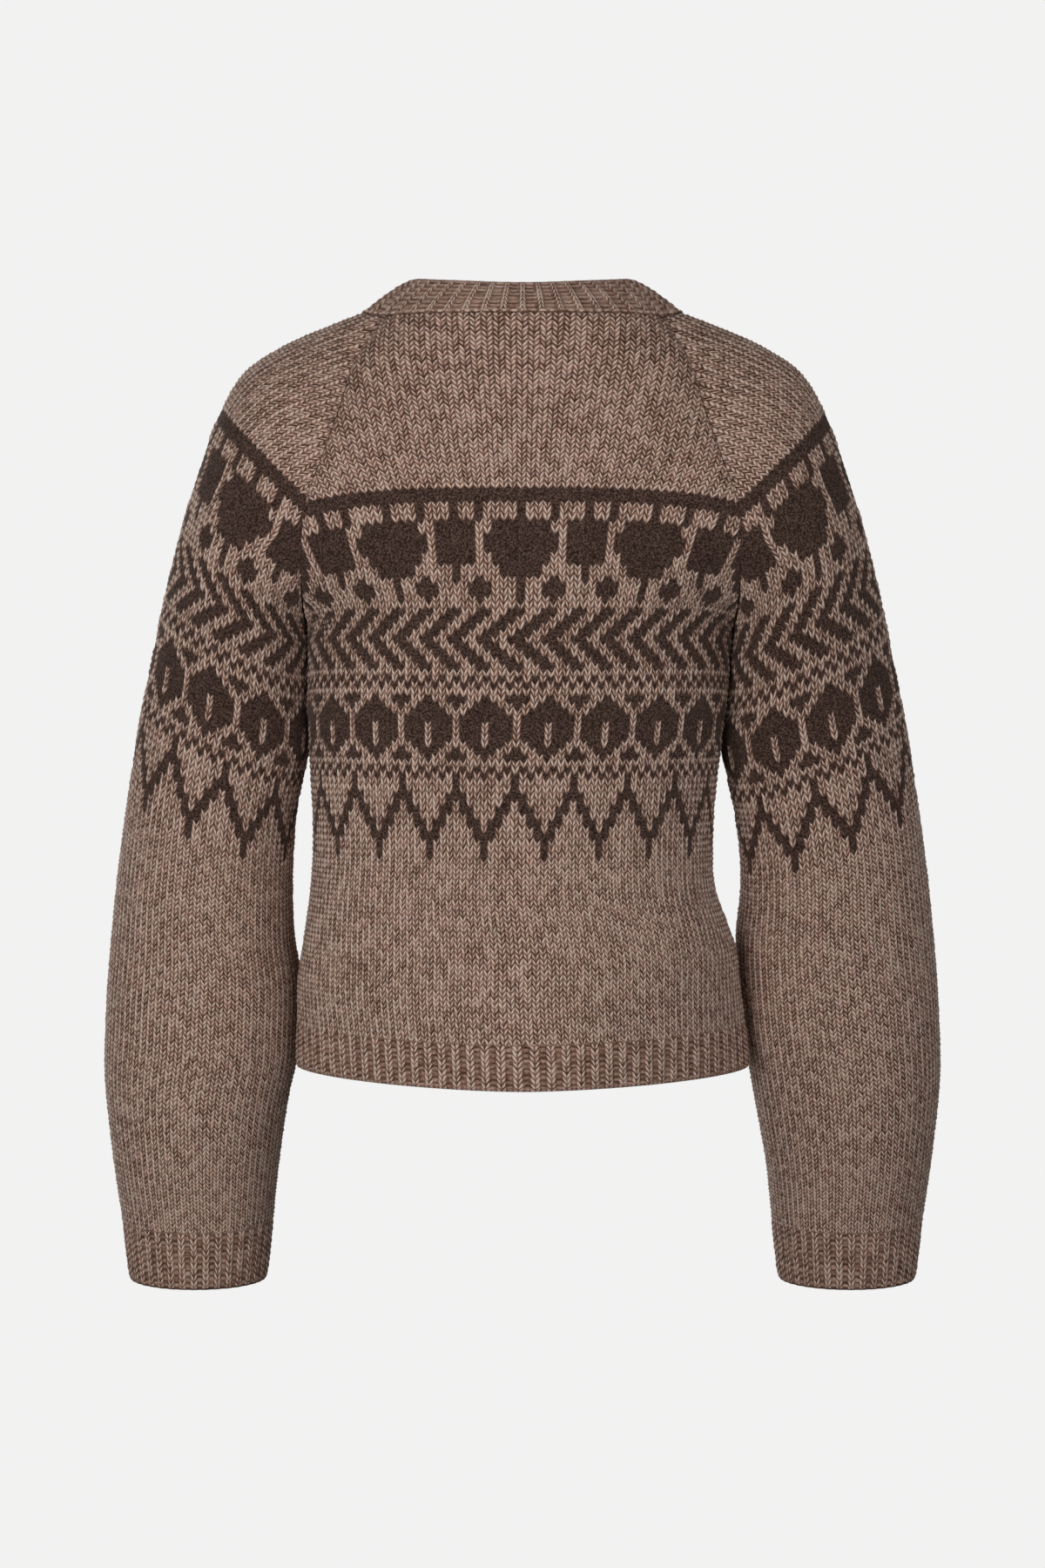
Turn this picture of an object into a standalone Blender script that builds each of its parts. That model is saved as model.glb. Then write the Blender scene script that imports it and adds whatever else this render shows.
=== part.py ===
"""Nordic yoke sweater: raglan sleeves, ribbed neckband, hem and cuffs, filled out as when worn.

Metres, +Z up. The front faces -Y and the wearer's left is +X. The origin is the centre of the
neck opening at shoulder height, where the wearer's shoulders carry the garment.

Every surface is read in knitting terms: a row counts down from the neck seam, and "across" runs
from -1 at one seam of a panel to +1 at the other. The tables hold one line for each row that was
measured, and smooth curves join them.
"""

import math

import bmesh
import bpy
import numpy as np

# Cloth
WALL = 0.003
SEAM_GAP = 0.0003
NECK_SEAM_GAP = 0.0005
RIB_RAISE = 0.0007
RIB_SINK = 0.0009

# Rows of knitting, counted down from the neck seam
UNDERARM_ROW = 50
BODY_END_ROW = 114
HEM_END_ROW = 121
SLEEVE_END_ROW = 148
CUFF_END_ROW = 156

# Front neckline, in rows below the back neckline
FRONT_DROP_AT_SEAM = 2
FRONT_DROP_AT_CENTRE = 16
FRONT_DROP_POWER = 2.0

# Neckband: how far its free edge lies inside and above the neck seam
BAND_INWARD_SIDE = 0.0315
BAND_INWARD_BACK = 0.0215
BAND_INWARD_FRONT = 0.0160
BAND_RISE_SIDE = 0.0238
BAND_RISE_BACK = 0.0208
BAND_RISE_FRONT = 0.0272
BAND_CENTRE_Y = -0.012
BAND_BELLY = 0.0015
BAND_CONE_DEPTH = 0.1
BAND_SMOOTHING_PASSES = 24

# One-by-one ribs, each a raised wale and a sunk one
HEM_RIBS_A_PANEL = 40
CUFF_RIBS = 26
NECKBAND_RIBS_BACK = 16
NECKBAND_RIBS_SLEEVE = 5
NECKBAND_RIBS_FRONT = 22

# How many cells each wall has
PANEL_CELLS_ACROSS = 20
SLEEVE_CELLS_ROUND = 22
DENSE_COLUMNS = 161
PANEL_ROWS = (0, 4, 9, 14, 19, 24, 28, 32, 36, 40, 43, 46, 48, 50, 54, 60, 66, 72, 78, 84, 90, 96, 102, 108, 114)
SLEEVE_ROWS = PANEL_ROWS[:14] + (54, 60, 67, 74, 81, 88, 95, 102, 109, 116, 123, 130, 136, 142, 148)

ROW_BOW_POWER = 3

SLEEVE_COLUMNS = (
    "row", "outer_x", "outer_z", "inner_x_left", "inner_x_right", "inner_z", "half_depth", "turn", "tilt", "y",
)
SLEEVE_TABLE = (
    (0, 0.1076, -0.0058, 0.0981, 0.0981, -0.0097, 0.0392, 50, 0.0, 0.000),
    (7, 0.1389, -0.0180, 0.1168, 0.1164, -0.0390, 0.0596, 52, 0.0, 0.000),
    (14, 0.1693, -0.0315, 0.1274, 0.1268, -0.0727, 0.0784, 56, 0.0, 0.000),
    (21, 0.1961, -0.0499, 0.1389, 0.1380, -0.1054, 0.0879, 64, 0.0, 0.000),
    (28, 0.2132, -0.0779, 0.1502, 0.1488, -0.1377, 0.0894, 80, 0.0, 0.000),
    (36, 0.2268, -0.1140, 0.1533, 0.1512, -0.1757, 0.0825, 106, 1.0, 0.000),
    (43, 0.2373, -0.1464, 0.1539, 0.1512, -0.2061, 0.0750, 140, 3.0, 0.000),
    (50, 0.2465, -0.1801, 0.1525, 0.1485, -0.2360, 0.0665, 180, 4.5, 0.000),
    (58, 0.2565, -0.2189, 0.1536, 0.1471, -0.2749, 0.0630, 180, 6.0, -0.010),
    (66, 0.2651, -0.2581, 0.1536, 0.1432, -0.3118, 0.0610, 180, 7.0, -0.018),
    (72, 0.2715, -0.2871, 0.1576, 0.1471, -0.3405, 0.0605, 180, 8.0, -0.022),
    (78, 0.2768, -0.3167, 0.1627, 0.1527, -0.3672, 0.0605, 180, 9.0, -0.025),
    (84, 0.2818, -0.3463, 0.1649, 0.1564, -0.3933, 0.0610, 180, 10.0, -0.027),
    (98, 0.2917, -0.4153, 0.1664, 0.1575, -0.4545, 0.0620, 180, 9.0, -0.031),
    (105, 0.2956, -0.4509, 0.1631, 0.1580, -0.4843, 0.0626, 180, 8.0, -0.033),
    (112, 0.2990, -0.4867, 0.1628, 0.1615, -0.5143, 0.0630, 180, 7.0, -0.034),
    (118, 0.3008, -0.5177, 0.1650, 0.1660, -0.5404, 0.0627, 180, 6.0, -0.035),
    (124, 0.3019, -0.5485, 0.1684, 0.1684, -0.5665, 0.0620, 180, 5.0, -0.036),
    (136, 0.2969, -0.6105, 0.1765, 0.1765, -0.6178, 0.0565, 180, 3.0, -0.037),
    (148, 0.2900, -0.6633, 0.1817, 0.1817, -0.6634, 0.0500, 180, 1.0, -0.037),
    (156, 0.2854, -0.7052, 0.1865, 0.1865, -0.7053, 0.0460, 180, 0.0, -0.037),
)

SIDE_COLUMNS = ("row", "left_x", "right_x", "z")
SIDE_TABLE = (
    (50, 0.1525, 0.1485, -0.2360),
    (58, 0.1514, 0.1443, -0.2710),
    (66, 0.1512, 0.1410, -0.3046),
    (72, 0.1504, 0.1386, -0.3302),
    (78, 0.1492, 0.1362, -0.3564),
    (85, 0.1487, 0.1350, -0.3866),
    (92, 0.1510, 0.1372, -0.4169),
    (98, 0.1544, 0.1466, -0.4425),
    (102, 0.1573, 0.1525, -0.4599),
    (106, 0.1591, 0.1545, -0.4773),
    (114, 0.1603, 0.1585, -0.5121),
    (121, 0.1611, 0.1599, -0.5436),
)

# Power is how lens-like a ring is: 1 is an ellipse, and less is squarer
CENTRE_COLUMNS = ("row", "z", "back_y", "front_y", "turn", "power")
CENTRE_TABLE = (
    (0, -0.0068, 0.0720, -0.0700, 60, 1.00),
    (7, -0.0367, 0.0820, -0.0840, 52, 1.00),
    (14, -0.0666, 0.0895, -0.0960, 46, 1.00),
    (21, -0.0967, 0.0970, -0.1060, 42, 1.00),
    (28, -0.1267, 0.1030, -0.1140, 42, 1.00),
    (36, -0.1622, 0.1070, -0.1200, 52, 1.00),
    (43, -0.1931, 0.1085, -0.1240, 68, 1.00),
    (50, -0.2246, 0.1080, -0.1250, 90, 1.00),
    (60, -0.2694, 0.1035, -0.1215, 90, 0.93),
    (72, -0.3234, 0.0975, -0.1135, 90, 0.90),
    (85, -0.3821, 0.0945, -0.1060, 90, 0.90),
    (98, -0.4402, 0.0995, -0.1060, 90, 0.94),
    (106, -0.4767, 0.1055, -0.1090, 90, 1.06),
    (114, -0.5123, 0.1100, -0.1115, 90, 1.18),
    (121, -0.5438, 0.1115, -0.1120, 90, 1.25),
)

# Side and underarm seams lie in planes of constant y, so their normals have no y
SEAM_PLANE = np.array([1.0, 0.0, 1.0])

MELANGE_BROWN = (0.236, 0.161, 0.127, 1.0)
RIB_BROWN = (0.205, 0.140, 0.110, 1.0)
WOOL_ROUGHNESS = 0.95
SHARP_ANGLE = math.radians(40)


def clear_scene():
    for obj in list(bpy.data.objects):
        bpy.data.objects.remove(obj, do_unlink=True)


def unit(vectors):
    return vectors / np.linalg.norm(vectors, axis=-1, keepdims=True)


def columns_of(names, table, rows):
    """Each named column of a table at the given rows, on a smooth curve through its lines."""
    stations = np.array([line[0] for line in table], float)
    cell = np.clip(np.searchsorted(stations, rows, side="right") - 1, 0, len(stations) - 2)
    width = stations[cell + 1] - stations[cell]
    t = (rows - stations[cell]) / width
    found = {}
    for index, name in enumerate(names[1:], start=1):
        values = np.array([line[index] for line in table], float)
        slopes = np.gradient(values, stations)
        found[name] = (
            (2 * t**3 - 3 * t**2 + 1) * values[cell]
            + (t**3 - 2 * t**2 + t) * width * slopes[cell]
            + (3 * t**2 - 2 * t**3) * values[cell + 1]
            + (t**3 - t**2) * width * slopes[cell + 1]
        )
    return found


def spread_evenly(line):
    """The same curve with its points at equal distances along it."""
    steps = np.linalg.norm(np.diff(line, axis=0), axis=1)
    run = np.concatenate([[0.0], np.cumsum(steps)])
    wanted = np.linspace(0.0, run[-1], len(line))
    return np.stack([np.interp(wanted, run, line[:, axis]) for axis in range(3)], axis=1)


def sleeve_surface(side):
    """Rows by columns of points, from the back seam (across -1) over the top to the front seam (+1)."""
    rows = np.arange(CUFF_END_ROW + 1)
    at = columns_of(SLEEVE_COLUMNS, SLEEVE_TABLE, rows)
    inner_x = at["inner_x_left"] if side > 0 else at["inner_x_right"]
    lines = []
    for row in rows:
        hung_y = at["y"][row] if row > UNDERARM_ROW else 0.0
        outer = np.array([side * at["outer_x"][row], hung_y, at["outer_z"][row]])
        inner = np.array([side * inner_x[row], hung_y, at["inner_z"][row]])
        turn = math.radians(min(at["turn"][row], 180.0)) if row < UNDERARM_ROW else math.pi
        tilt = math.radians(at["tilt"][row])
        half_width = np.linalg.norm(outer - inner) / (1 - math.cos(turn))
        outward = unit(outer - inner)
        backward = np.array([0.0, math.cos(tilt), -math.sin(tilt)])
        angle = np.linspace(turn, -turn, DENSE_COLUMNS)[:, None]
        centre = outer - half_width * outward
        line = centre + half_width * np.cos(angle) * outward + at["half_depth"][row] * np.sin(angle) * backward
        lines.append(spread_evenly(line))
    return np.array(lines)


def body_surface(face, sleeves):
    """Rows by columns of points of the back (face 1) or front (face -1), from -X to +X."""
    rows = np.arange(HEM_END_ROW + 1)
    side = columns_of(SIDE_COLUMNS, SIDE_TABLE, rows)
    centre = columns_of(CENTRE_COLUMNS, CENTRE_TABLE, rows)
    across = np.linspace(-1.0, 1.0, DENSE_COLUMNS)
    edge_column = 0 if face > 0 else -1
    lines = []
    for row in rows:
        if row <= UNDERARM_ROW:
            right = sleeves[-1][row, edge_column]
            left = sleeves[1][row, edge_column]
        else:
            right = np.array([-side["right_x"][row], 0.0, side["z"][row]])
            left = np.array([side["left_x"][row], 0.0, side["z"][row]])
        middle_y = centre["back_y"][row] if face > 0 else centre["front_y"][row]
        turn = math.radians(centre["turn"][row]) if row < UNDERARM_ROW else math.pi / 2
        power = centre["power"][row]
        angle = turn * across
        reach = (np.abs(np.sin(angle)) / math.sin(turn)) ** power
        bulge = np.clip((np.cos(angle) - math.cos(turn)) / (1 - math.cos(turn)), 0, 1) ** power
        bow = 1 - np.abs(across) ** ROW_BOW_POWER
        edge = np.where(across[:, None] < 0, right, left)
        line = np.stack(
            [
                edge[:, 0] * reach,
                edge[:, 1] + (middle_y - edge[:, 1]) * bulge,
                edge[:, 2] + (centre["z"][row] - edge[:, 2]) * bow,
            ],
            axis=1,
        )
        lines.append(spread_evenly(line))
    return np.array(lines)


def outward_normals(points, middle):
    """Unit normals of a grid of points, turned away from the middle line given for each row."""
    normals = unit(np.cross(np.gradient(points, axis=0), np.gradient(points, axis=1)))
    away = np.sum(normals * (points - middle), axis=2)
    return normals * np.sign(np.median(away))


def share_seam_normals(normals):
    """Gives panels that meet at a seam one normal along it, so that their cut edges stay parallel."""
    for side, body_edge in ((1, -1), (-1, 0)):
        sleeve = normals["sleeve", side]
        back = normals["body", 1]
        front = normals["body", -1]
        for row in range(CUFF_END_ROW + 1):
            if row < UNDERARM_ROW:
                sleeve[row, 0] = back[row, body_edge] = unit(sleeve[row, 0] + back[row, body_edge])
                sleeve[row, -1] = front[row, body_edge] = unit(sleeve[row, -1] + front[row, body_edge])
                continue
            under = unit((sleeve[row, 0] + sleeve[row, -1]) * SEAM_PLANE)
            if row <= HEM_END_ROW:
                beside = unit((back[row, body_edge] + front[row, body_edge]) * SEAM_PLANE)
            if row == UNDERARM_ROW:
                under = beside = unit(under + beside)
            sleeve[row, 0] = sleeve[row, -1] = under
            if row <= HEM_END_ROW:
                back[row, body_edge] = front[row, body_edge] = beside


def sample(grid, rows, across):
    """Points or normals of a dense grid at fractional rows and across -1 to 1."""
    rows = np.asarray(rows, float)
    place = (np.asarray(across, float) + 1) / 2 * (grid.shape[1] - 1)
    row0 = np.clip(np.floor(rows).astype(int), 0, grid.shape[0] - 2)
    col0 = np.clip(np.floor(place).astype(int), 0, grid.shape[1] - 2)
    t = (rows - row0)[..., None]
    s = (place - col0)[..., None]
    upper = grid[row0, col0] * (1 - s) + grid[row0, col0 + 1] * s
    lower = grid[row0 + 1, col0] * (1 - s) + grid[row0 + 1, col0 + 1] * s
    return upper * (1 - t) + lower * t


def draw_back_edge(points, normals, edge, beside, rows):
    """Moves the given rows of one edge column half a seam gap into the panel."""
    seam = unit(np.gradient(points[:, edge], axis=0))
    inward = points[:, beside] - points[:, edge]
    normal = normals[:, edge]
    inward = inward - seam * np.sum(inward * seam, axis=1, keepdims=True)
    inward = unit(inward - normal * np.sum(inward * normal, axis=1, keepdims=True))
    points[rows, edge] += inward[rows] * SEAM_GAP / 2


def add_wall(name, outer, inner, colour, joined_from=None):
    """A closed wall between two grids; from row joined_from on, its first and last columns are one."""
    rows, columns = outer.shape[:2]
    joined_from = rows if joined_from is None else joined_from
    mesh = bmesh.new()
    corner = {}
    for layer, grid in enumerate((outer, inner)):
        for i in range(rows):
            last = columns - 1 if i >= joined_from else columns
            for j in range(last):
                corner[layer, i, j] = mesh.verts.new(grid[i, j])
            if i >= joined_from:
                corner[layer, i, columns - 1] = corner[layer, i, 0]
    for i in range(rows - 1):
        for j in range(columns - 1):
            for layer in (0, 1):
                mesh.faces.new([corner[layer, i + a, j + b] for a, b in ((0, 0), (0, 1), (1, 1), (1, 0))])
    for i in (0, rows - 1):
        for j in range(columns - 1):
            mesh.faces.new([corner[0, i, j], corner[0, i, j + 1], corner[1, i, j + 1], corner[1, i, j]])
    for j in (0, columns - 1):
        for i in range(min(joined_from, rows - 1)):
            mesh.faces.new([corner[0, i, j], corner[0, i + 1, j], corner[1, i + 1, j], corner[1, i, j]])
    bmesh.ops.recalc_face_normals(mesh, faces=mesh.faces)
    return finish_object(name, mesh, colour)


def finish_object(name, mesh, colour):
    data = bpy.data.meshes.new(name)
    mesh.to_mesh(data)
    mesh.free()
    data.shade_smooth()
    data.set_sharp_from_angle(angle=SHARP_ANGLE)
    material = bpy.data.materials.new(name + "_wool")
    material.use_nodes = True
    shader = material.node_tree.nodes["Principled BSDF"]
    shader.inputs["Base Color"].default_value = colour
    shader.inputs["Roughness"].default_value = WOOL_ROUGHNESS
    shader.inputs["Metallic"].default_value = 0.0
    data.materials.append(material)
    obj = bpy.data.objects.new(name, data)
    bpy.context.scene.collection.objects.link(obj)
    return obj


def front_neck_row(across):
    """The row at which the front neckline cuts the front panel."""
    rise = FRONT_DROP_AT_CENTRE - FRONT_DROP_AT_SEAM
    return FRONT_DROP_AT_CENTRE - rise * np.abs(across) ** FRONT_DROP_POWER


def sleeve_neck_row(across):
    """The sleeve's top edge slopes down from the back seam to the front seam."""
    return FRONT_DROP_AT_SEAM * (across + 1) / 2


def panel_grid(first_row, rows, across):
    """Row numbers for a panel whose first row follows a neckline."""
    start = first_row(across)[None, :]
    share = np.array(rows, float)[:, None] / rows[-1]
    return start + (rows[-1] - start) * share


def make_panels(surfaces, normals):
    across = np.linspace(-1.0, 1.0, PANEL_CELLS_ACROSS + 1)
    fewer_rows = {1: np.zeros_like, -1: front_neck_row}
    for face, name in ((1, "back_panel"), (-1, "front_panel")):
        rows = panel_grid(fewer_rows[face], PANEL_ROWS, across)
        points = sample(surfaces["body", face], rows, across[None, :])
        normal = unit(sample(normals["body", face], rows, across[None, :]))
        everywhere = slice(None)
        draw_back_edge(points, normal, 0, 1, everywhere)
        draw_back_edge(points, normal, -1, -2, everywhere)
        add_wall(name, points, points - WALL * normal, MELANGE_BROWN)


def make_sleeves(surfaces, normals):
    across = np.linspace(-1.0, 1.0, SLEEVE_CELLS_ROUND + 1)
    joined_from = SLEEVE_ROWS.index(UNDERARM_ROW)
    for side, name in ((1, "sleeve_left"), (-1, "sleeve_right")):
        start = sleeve_neck_row(across)[None, :]
        rows = np.array(SLEEVE_ROWS, float)[:, None]
        above = np.clip(1 - rows / UNDERARM_ROW, 0, 1)
        rows = rows + start * above
        points = sample(surfaces["sleeve", side], rows, across[None, :])
        normal = unit(sample(normals["sleeve", side], rows, across[None, :]))
        open_rows = slice(0, joined_from)
        draw_back_edge(points, normal, 0, 1, open_rows)
        draw_back_edge(points, normal, -1, -2, open_rows)
        points[joined_from, 0] += np.array([side * SEAM_GAP / 2, 0.0, 0.0])
        add_wall(name, points, points - WALL * normal, MELANGE_BROWN, joined_from)


def rib_relief(count, raised_first):
    """Alternating heights across a rib: up on a knit wale, down on a purl one."""
    heights = np.where(np.arange(count) % 2 == 0, RIB_RAISE, -RIB_SINK)
    return heights if raised_first else -heights


def make_hem(surfaces, normals):
    across = np.linspace(-1.0, 1.0, 2 * HEM_RIBS_A_PANEL + 1)
    rows = np.array([BODY_END_ROW, (BODY_END_ROW + HEM_END_ROW) / 2, HEM_END_ROW], float)
    relief = rib_relief(len(across), True)[None, :, None]
    for face, name in ((1, "hem_rib_back"), (-1, "hem_rib_front")):
        points = sample(surfaces["body", face], rows[:, None], across[None, :])
        normal = unit(sample(normals["body", face], rows[:, None], across[None, :]))
        points[0, :, 2] -= SEAM_GAP
        everywhere = slice(None)
        draw_back_edge(points, normal, 0, 1, everywhere)
        draw_back_edge(points, normal, -1, -2, everywhere)
        add_wall(name, points + relief * normal, points - WALL * normal, RIB_BROWN)


def make_cuffs(surfaces, normals):
    across = np.linspace(-1.0, 1.0, 2 * CUFF_RIBS + 1)
    rows = np.array([SLEEVE_END_ROW, (SLEEVE_END_ROW + CUFF_END_ROW) / 2, CUFF_END_ROW], float)
    relief = rib_relief(len(across), True)[None, :, None]
    for side, name in ((1, "cuff_left"), (-1, "cuff_right")):
        points = sample(surfaces["sleeve", side], rows[:, None], across[None, :])
        normal = unit(sample(normals["sleeve", side], rows[:, None], across[None, :]))
        points[0, :, 2] -= SEAM_GAP
        add_wall(name, points + relief * normal, points - WALL * normal, RIB_BROWN, joined_from=0)


def evenly_along(line, values, count):
    """Values read off at count + 1 places, equally far apart along a line."""
    run = np.concatenate([[0.0], np.cumsum(np.linalg.norm(np.diff(line, axis=0), axis=1))])
    wanted = np.linspace(0.0, run[-1], count + 1)
    return np.stack([np.interp(wanted, run, values[:, axis]) for axis in range(3)], axis=1)


def neckline(surfaces, normals):
    """The closed neck seam and its normals, with a point at each rib and furrow and at each raglan seam."""
    panel = np.linspace(-1.0, 1.0, PANEL_CELLS_ACROSS + 1)
    sleeve = np.linspace(-1.0, 1.0, SLEEVE_CELLS_ROUND + 1)
    runs = (
        (("body", 1), panel, np.zeros_like(panel), NECKBAND_RIBS_BACK),
        (("sleeve", 1), sleeve, sleeve_neck_row(sleeve), NECKBAND_RIBS_SLEEVE),
        (("body", -1), -panel, front_neck_row(panel), NECKBAND_RIBS_FRONT),
        (("sleeve", -1), -sleeve, sleeve_neck_row(-sleeve), NECKBAND_RIBS_SLEEVE),
    )
    points = []
    normal = []
    for key, across, rows, ribs in runs:
        edge = sample(surfaces[key], rows, across)
        points.append(evenly_along(edge, edge, 2 * ribs)[:-1])
        normal.append(evenly_along(edge, sample(normals[key], rows, across), 2 * ribs)[:-1])
    return np.concatenate(points), unit(np.concatenate(normal))


def closed(loop):
    return np.concatenate([loop, loop[:1]])


def smoothed(loop, passes):
    """A closed loop with each point drawn a little towards its neighbours, as often as asked."""
    for _ in range(passes):
        loop = (np.roll(loop, 1, axis=0) + 2 * loop + np.roll(loop, -1, axis=0)) / 4
    return loop


def make_neckband(surfaces, normals):
    base, base_normal = neckline(surfaces, normals)
    along = unit(np.roll(base, -1, axis=0) - np.roll(base, 1, axis=0))
    upward = np.cross(along, base_normal)
    upward *= np.sign(upward[:, 2:3])
    from_centre = base - np.array([0.0, BAND_CENTRE_Y, 0.0])
    bearing = unit(from_centre[:, :2])
    sideways = bearing[:, 0:1] ** 2
    to_back = bearing[:, 1:2] > 0
    inward = np.where(to_back, BAND_INWARD_BACK, BAND_INWARD_FRONT)
    inward = BAND_INWARD_SIDE * sideways + inward * (1 - sideways)
    rise = np.where(to_back, BAND_RISE_BACK, BAND_RISE_FRONT)
    rise = BAND_RISE_SIDE * sideways + rise * (1 - sideways)
    bottom = base + upward * NECK_SEAM_GAP
    top = smoothed(base + np.concatenate([-bearing * inward, rise], axis=1), BAND_SMOOTHING_PASSES)
    belly = 0.5 * (bottom + top) + BAND_BELLY * base_normal
    points = np.stack([closed(top), closed(belly), closed(bottom)])
    band_normal = outward_normals(points, np.array([0.0, BAND_CENTRE_Y, -BAND_CONE_DEPTH]))
    band_normal[:, -1] = band_normal[:, 0] = unit(band_normal[:, 0] + band_normal[:, -1])
    band_normal[2] = closed(base_normal)
    relief = rib_relief(points.shape[1], True)[None, :, None]
    add_wall("neckband", points + relief * band_normal, points - WALL * band_normal, RIB_BROWN, joined_from=0)


def main():
    clear_scene()
    surfaces = {("sleeve", side): sleeve_surface(side) for side in (1, -1)}
    sleeves = {side: surfaces["sleeve", side] for side in (1, -1)}
    for face in (1, -1):
        surfaces["body", face] = body_surface(face, sleeves)
    normals = {key: outward_normals(grid, grid.mean(axis=1, keepdims=True)) for key, grid in surfaces.items()}
    for face in (1, -1):
        body = surfaces["body", face]
        normals["body", face] = outward_normals(body, body.mean(axis=1, keepdims=True) * np.array([1.0, 0.0, 1.0]))
    share_seam_normals(normals)
    make_panels(surfaces, normals)
    make_sleeves(surfaces, normals)
    make_hem(surfaces, normals)
    make_cuffs(surfaces, normals)
    make_neckband(surfaces, normals)


main()
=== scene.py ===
import math

import bpy
import numpy as np
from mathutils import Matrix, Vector


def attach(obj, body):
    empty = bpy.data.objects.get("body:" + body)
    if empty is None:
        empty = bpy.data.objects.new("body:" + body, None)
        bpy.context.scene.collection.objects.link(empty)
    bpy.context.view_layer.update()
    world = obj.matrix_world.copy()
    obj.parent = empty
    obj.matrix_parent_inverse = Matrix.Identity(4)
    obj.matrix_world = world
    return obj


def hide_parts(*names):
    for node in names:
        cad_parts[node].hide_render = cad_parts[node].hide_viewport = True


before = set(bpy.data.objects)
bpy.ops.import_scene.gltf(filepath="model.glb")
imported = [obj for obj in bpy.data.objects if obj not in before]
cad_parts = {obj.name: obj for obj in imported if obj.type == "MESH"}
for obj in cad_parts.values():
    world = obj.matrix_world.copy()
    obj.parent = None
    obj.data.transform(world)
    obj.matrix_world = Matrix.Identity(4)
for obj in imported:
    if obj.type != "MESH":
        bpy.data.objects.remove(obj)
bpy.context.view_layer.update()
scene = bpy.context.scene
scene.view_settings.view_transform = "Standard"
print("frame loaded:", ", ".join(sorted(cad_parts)))


# Nodes of a material; an input is given as the output it reads, or as a plain value

mixSockets = {"factor": 0, "first": 6, "second": 7, "result": 2}  # of the mix node when it mixes colours


def addNode(tree, kind, inputs, **settings):
    node = tree.nodes.new("ShaderNode" + kind)
    for name, value in settings.items():
        setattr(node, name, value)
    for name, value in inputs.items():
        if isinstance(value, bpy.types.NodeSocket):
            tree.links.new(value, node.inputs[name])
        else:
            node.inputs[name].default_value = value
    return node


def mathNode(tree, operation, *values):
    return addNode(tree, "Math", dict(enumerate(values)), operation=operation).outputs[0]


# A smooth change from atLow to atHigh while the value goes from low to high
def rangeNode(tree, value, low, high, atLow=0.0, atHigh=1.0):
    inputs = {"Value": value, "From Min": low, "From Max": high, "To Min": atLow, "To Max": atHigh}
    return addNode(tree, "MapRange", inputs, interpolation_type="SMOOTHSTEP").outputs["Result"]


def noiseNode(tree, place, scale, detail):
    return addNode(tree, "TexNoise", {"Vector": place, "Scale": scale, "Detail": detail}).outputs["Fac"]


def rampNode(tree, value, stops):
    node = addNode(tree, "ValToRGB", {0: value})
    ramp = node.color_ramp
    while len(ramp.elements) < len(stops):
        ramp.elements.new(0.5)
    for element, (position, colour) in zip(ramp.elements, stops):
        element.position = position
        element.color = (*colour, 1.0)
    return node.outputs[0]


def mixNode(tree, factor, first, second, blend="MIX"):
    inputs = {mixSockets["factor"]: factor, mixSockets["first"]: first, mixSockets["second"]: second}
    return addNode(tree, "Mix", inputs, data_type="RGBA", blend_type=blend).outputs[mixSockets["result"]]


# Camera, light and floor

cameraSetup = {"place": (0.0, 3.3, 0.0), "tiltDown": 5.9, "lens": 107.0, "sensor": 36.0, "farthest": 60.0}
backdrop = {"colour": (0.887, 0.887, 0.883), "ambient": 0.06}
floorLook = {
    "height": -1.25, "radius": 6.0, "colour": (0.86, 0.86, 0.85), "rough": 0.9,
    "cover": 0.3, "solidTo": 0.5, "clearFrom": 1.1,  # how much it covers, and where it fades out
    "steps": 96, "rings": 24, "crowding": 1.5,       # crowding draws the rings to the middle
}
lampAim = (0.0, 0.0, -0.32)
lamps = {
    "keyLight": {"place": (0.62, 1.50, -0.24), "width": 0.75, "power": 8.9},
    "fillLight": {"place": (-0.62, 1.50, 0.20), "width": 0.75, "power": 3.8},
    "leftLight": {"place": (2.90, 0.51, 1.7), "width": 1.6, "power": 16.5},
    "rightLight": {"place": (-2.65, 1.10, 1.9), "width": 1.6, "power": 17.5},
    "frontLight": {"place": (1.2, -3.0, 0.6), "width": 2.4, "power": 40.0},
}


def addCamera(setup):
    data = bpy.data.cameras.new("backCamera")
    data.lens = setup["lens"]
    data.sensor_width = setup["sensor"]
    data.clip_end = setup["farthest"]
    camera = bpy.data.objects.new("backCamera", data)
    camera.location = setup["place"]
    camera.rotation_euler = (math.radians(90.0 - setup["tiltDown"]), 0.0, math.radians(180.0))
    scene.collection.objects.link(camera)
    scene.camera = camera


def addLamp(name, look):
    data = bpy.data.lights.new(name, "AREA")
    data.shape = "RECTANGLE"
    data.size = look["width"]
    data.size_y = look["width"]
    data.energy = look["power"]
    lamp = bpy.data.objects.new(name, data)
    lamp.location = look["place"]
    way = Vector(lampAim) - lamp.location
    lamp.rotation_euler = way.to_track_quat("-Z", "Y").to_euler()
    scene.collection.objects.link(lamp)


# The camera sees the backdrop's colour, and the garment is lit by a weak white
def addWorld(look):
    world = bpy.data.worlds.new("studioWorld")
    scene.world = world
    world.use_nodes = True
    tree = world.node_tree
    tree.nodes.clear()
    seen = addNode(tree, "Background", {"Color": (*look["colour"], 1.0)}).outputs[0]
    lit = addNode(tree, "Background", {"Color": (1.0, 1.0, 1.0, 1.0), "Strength": look["ambient"]}).outputs[0]
    byCamera = addNode(tree, "LightPath", {}).outputs["Is Camera Ray"]
    mixed = addNode(tree, "MixShader", {0: byCamera, 1: lit, 2: seen}).outputs[0]
    addNode(tree, "OutputWorld", {0: mixed})


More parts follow.
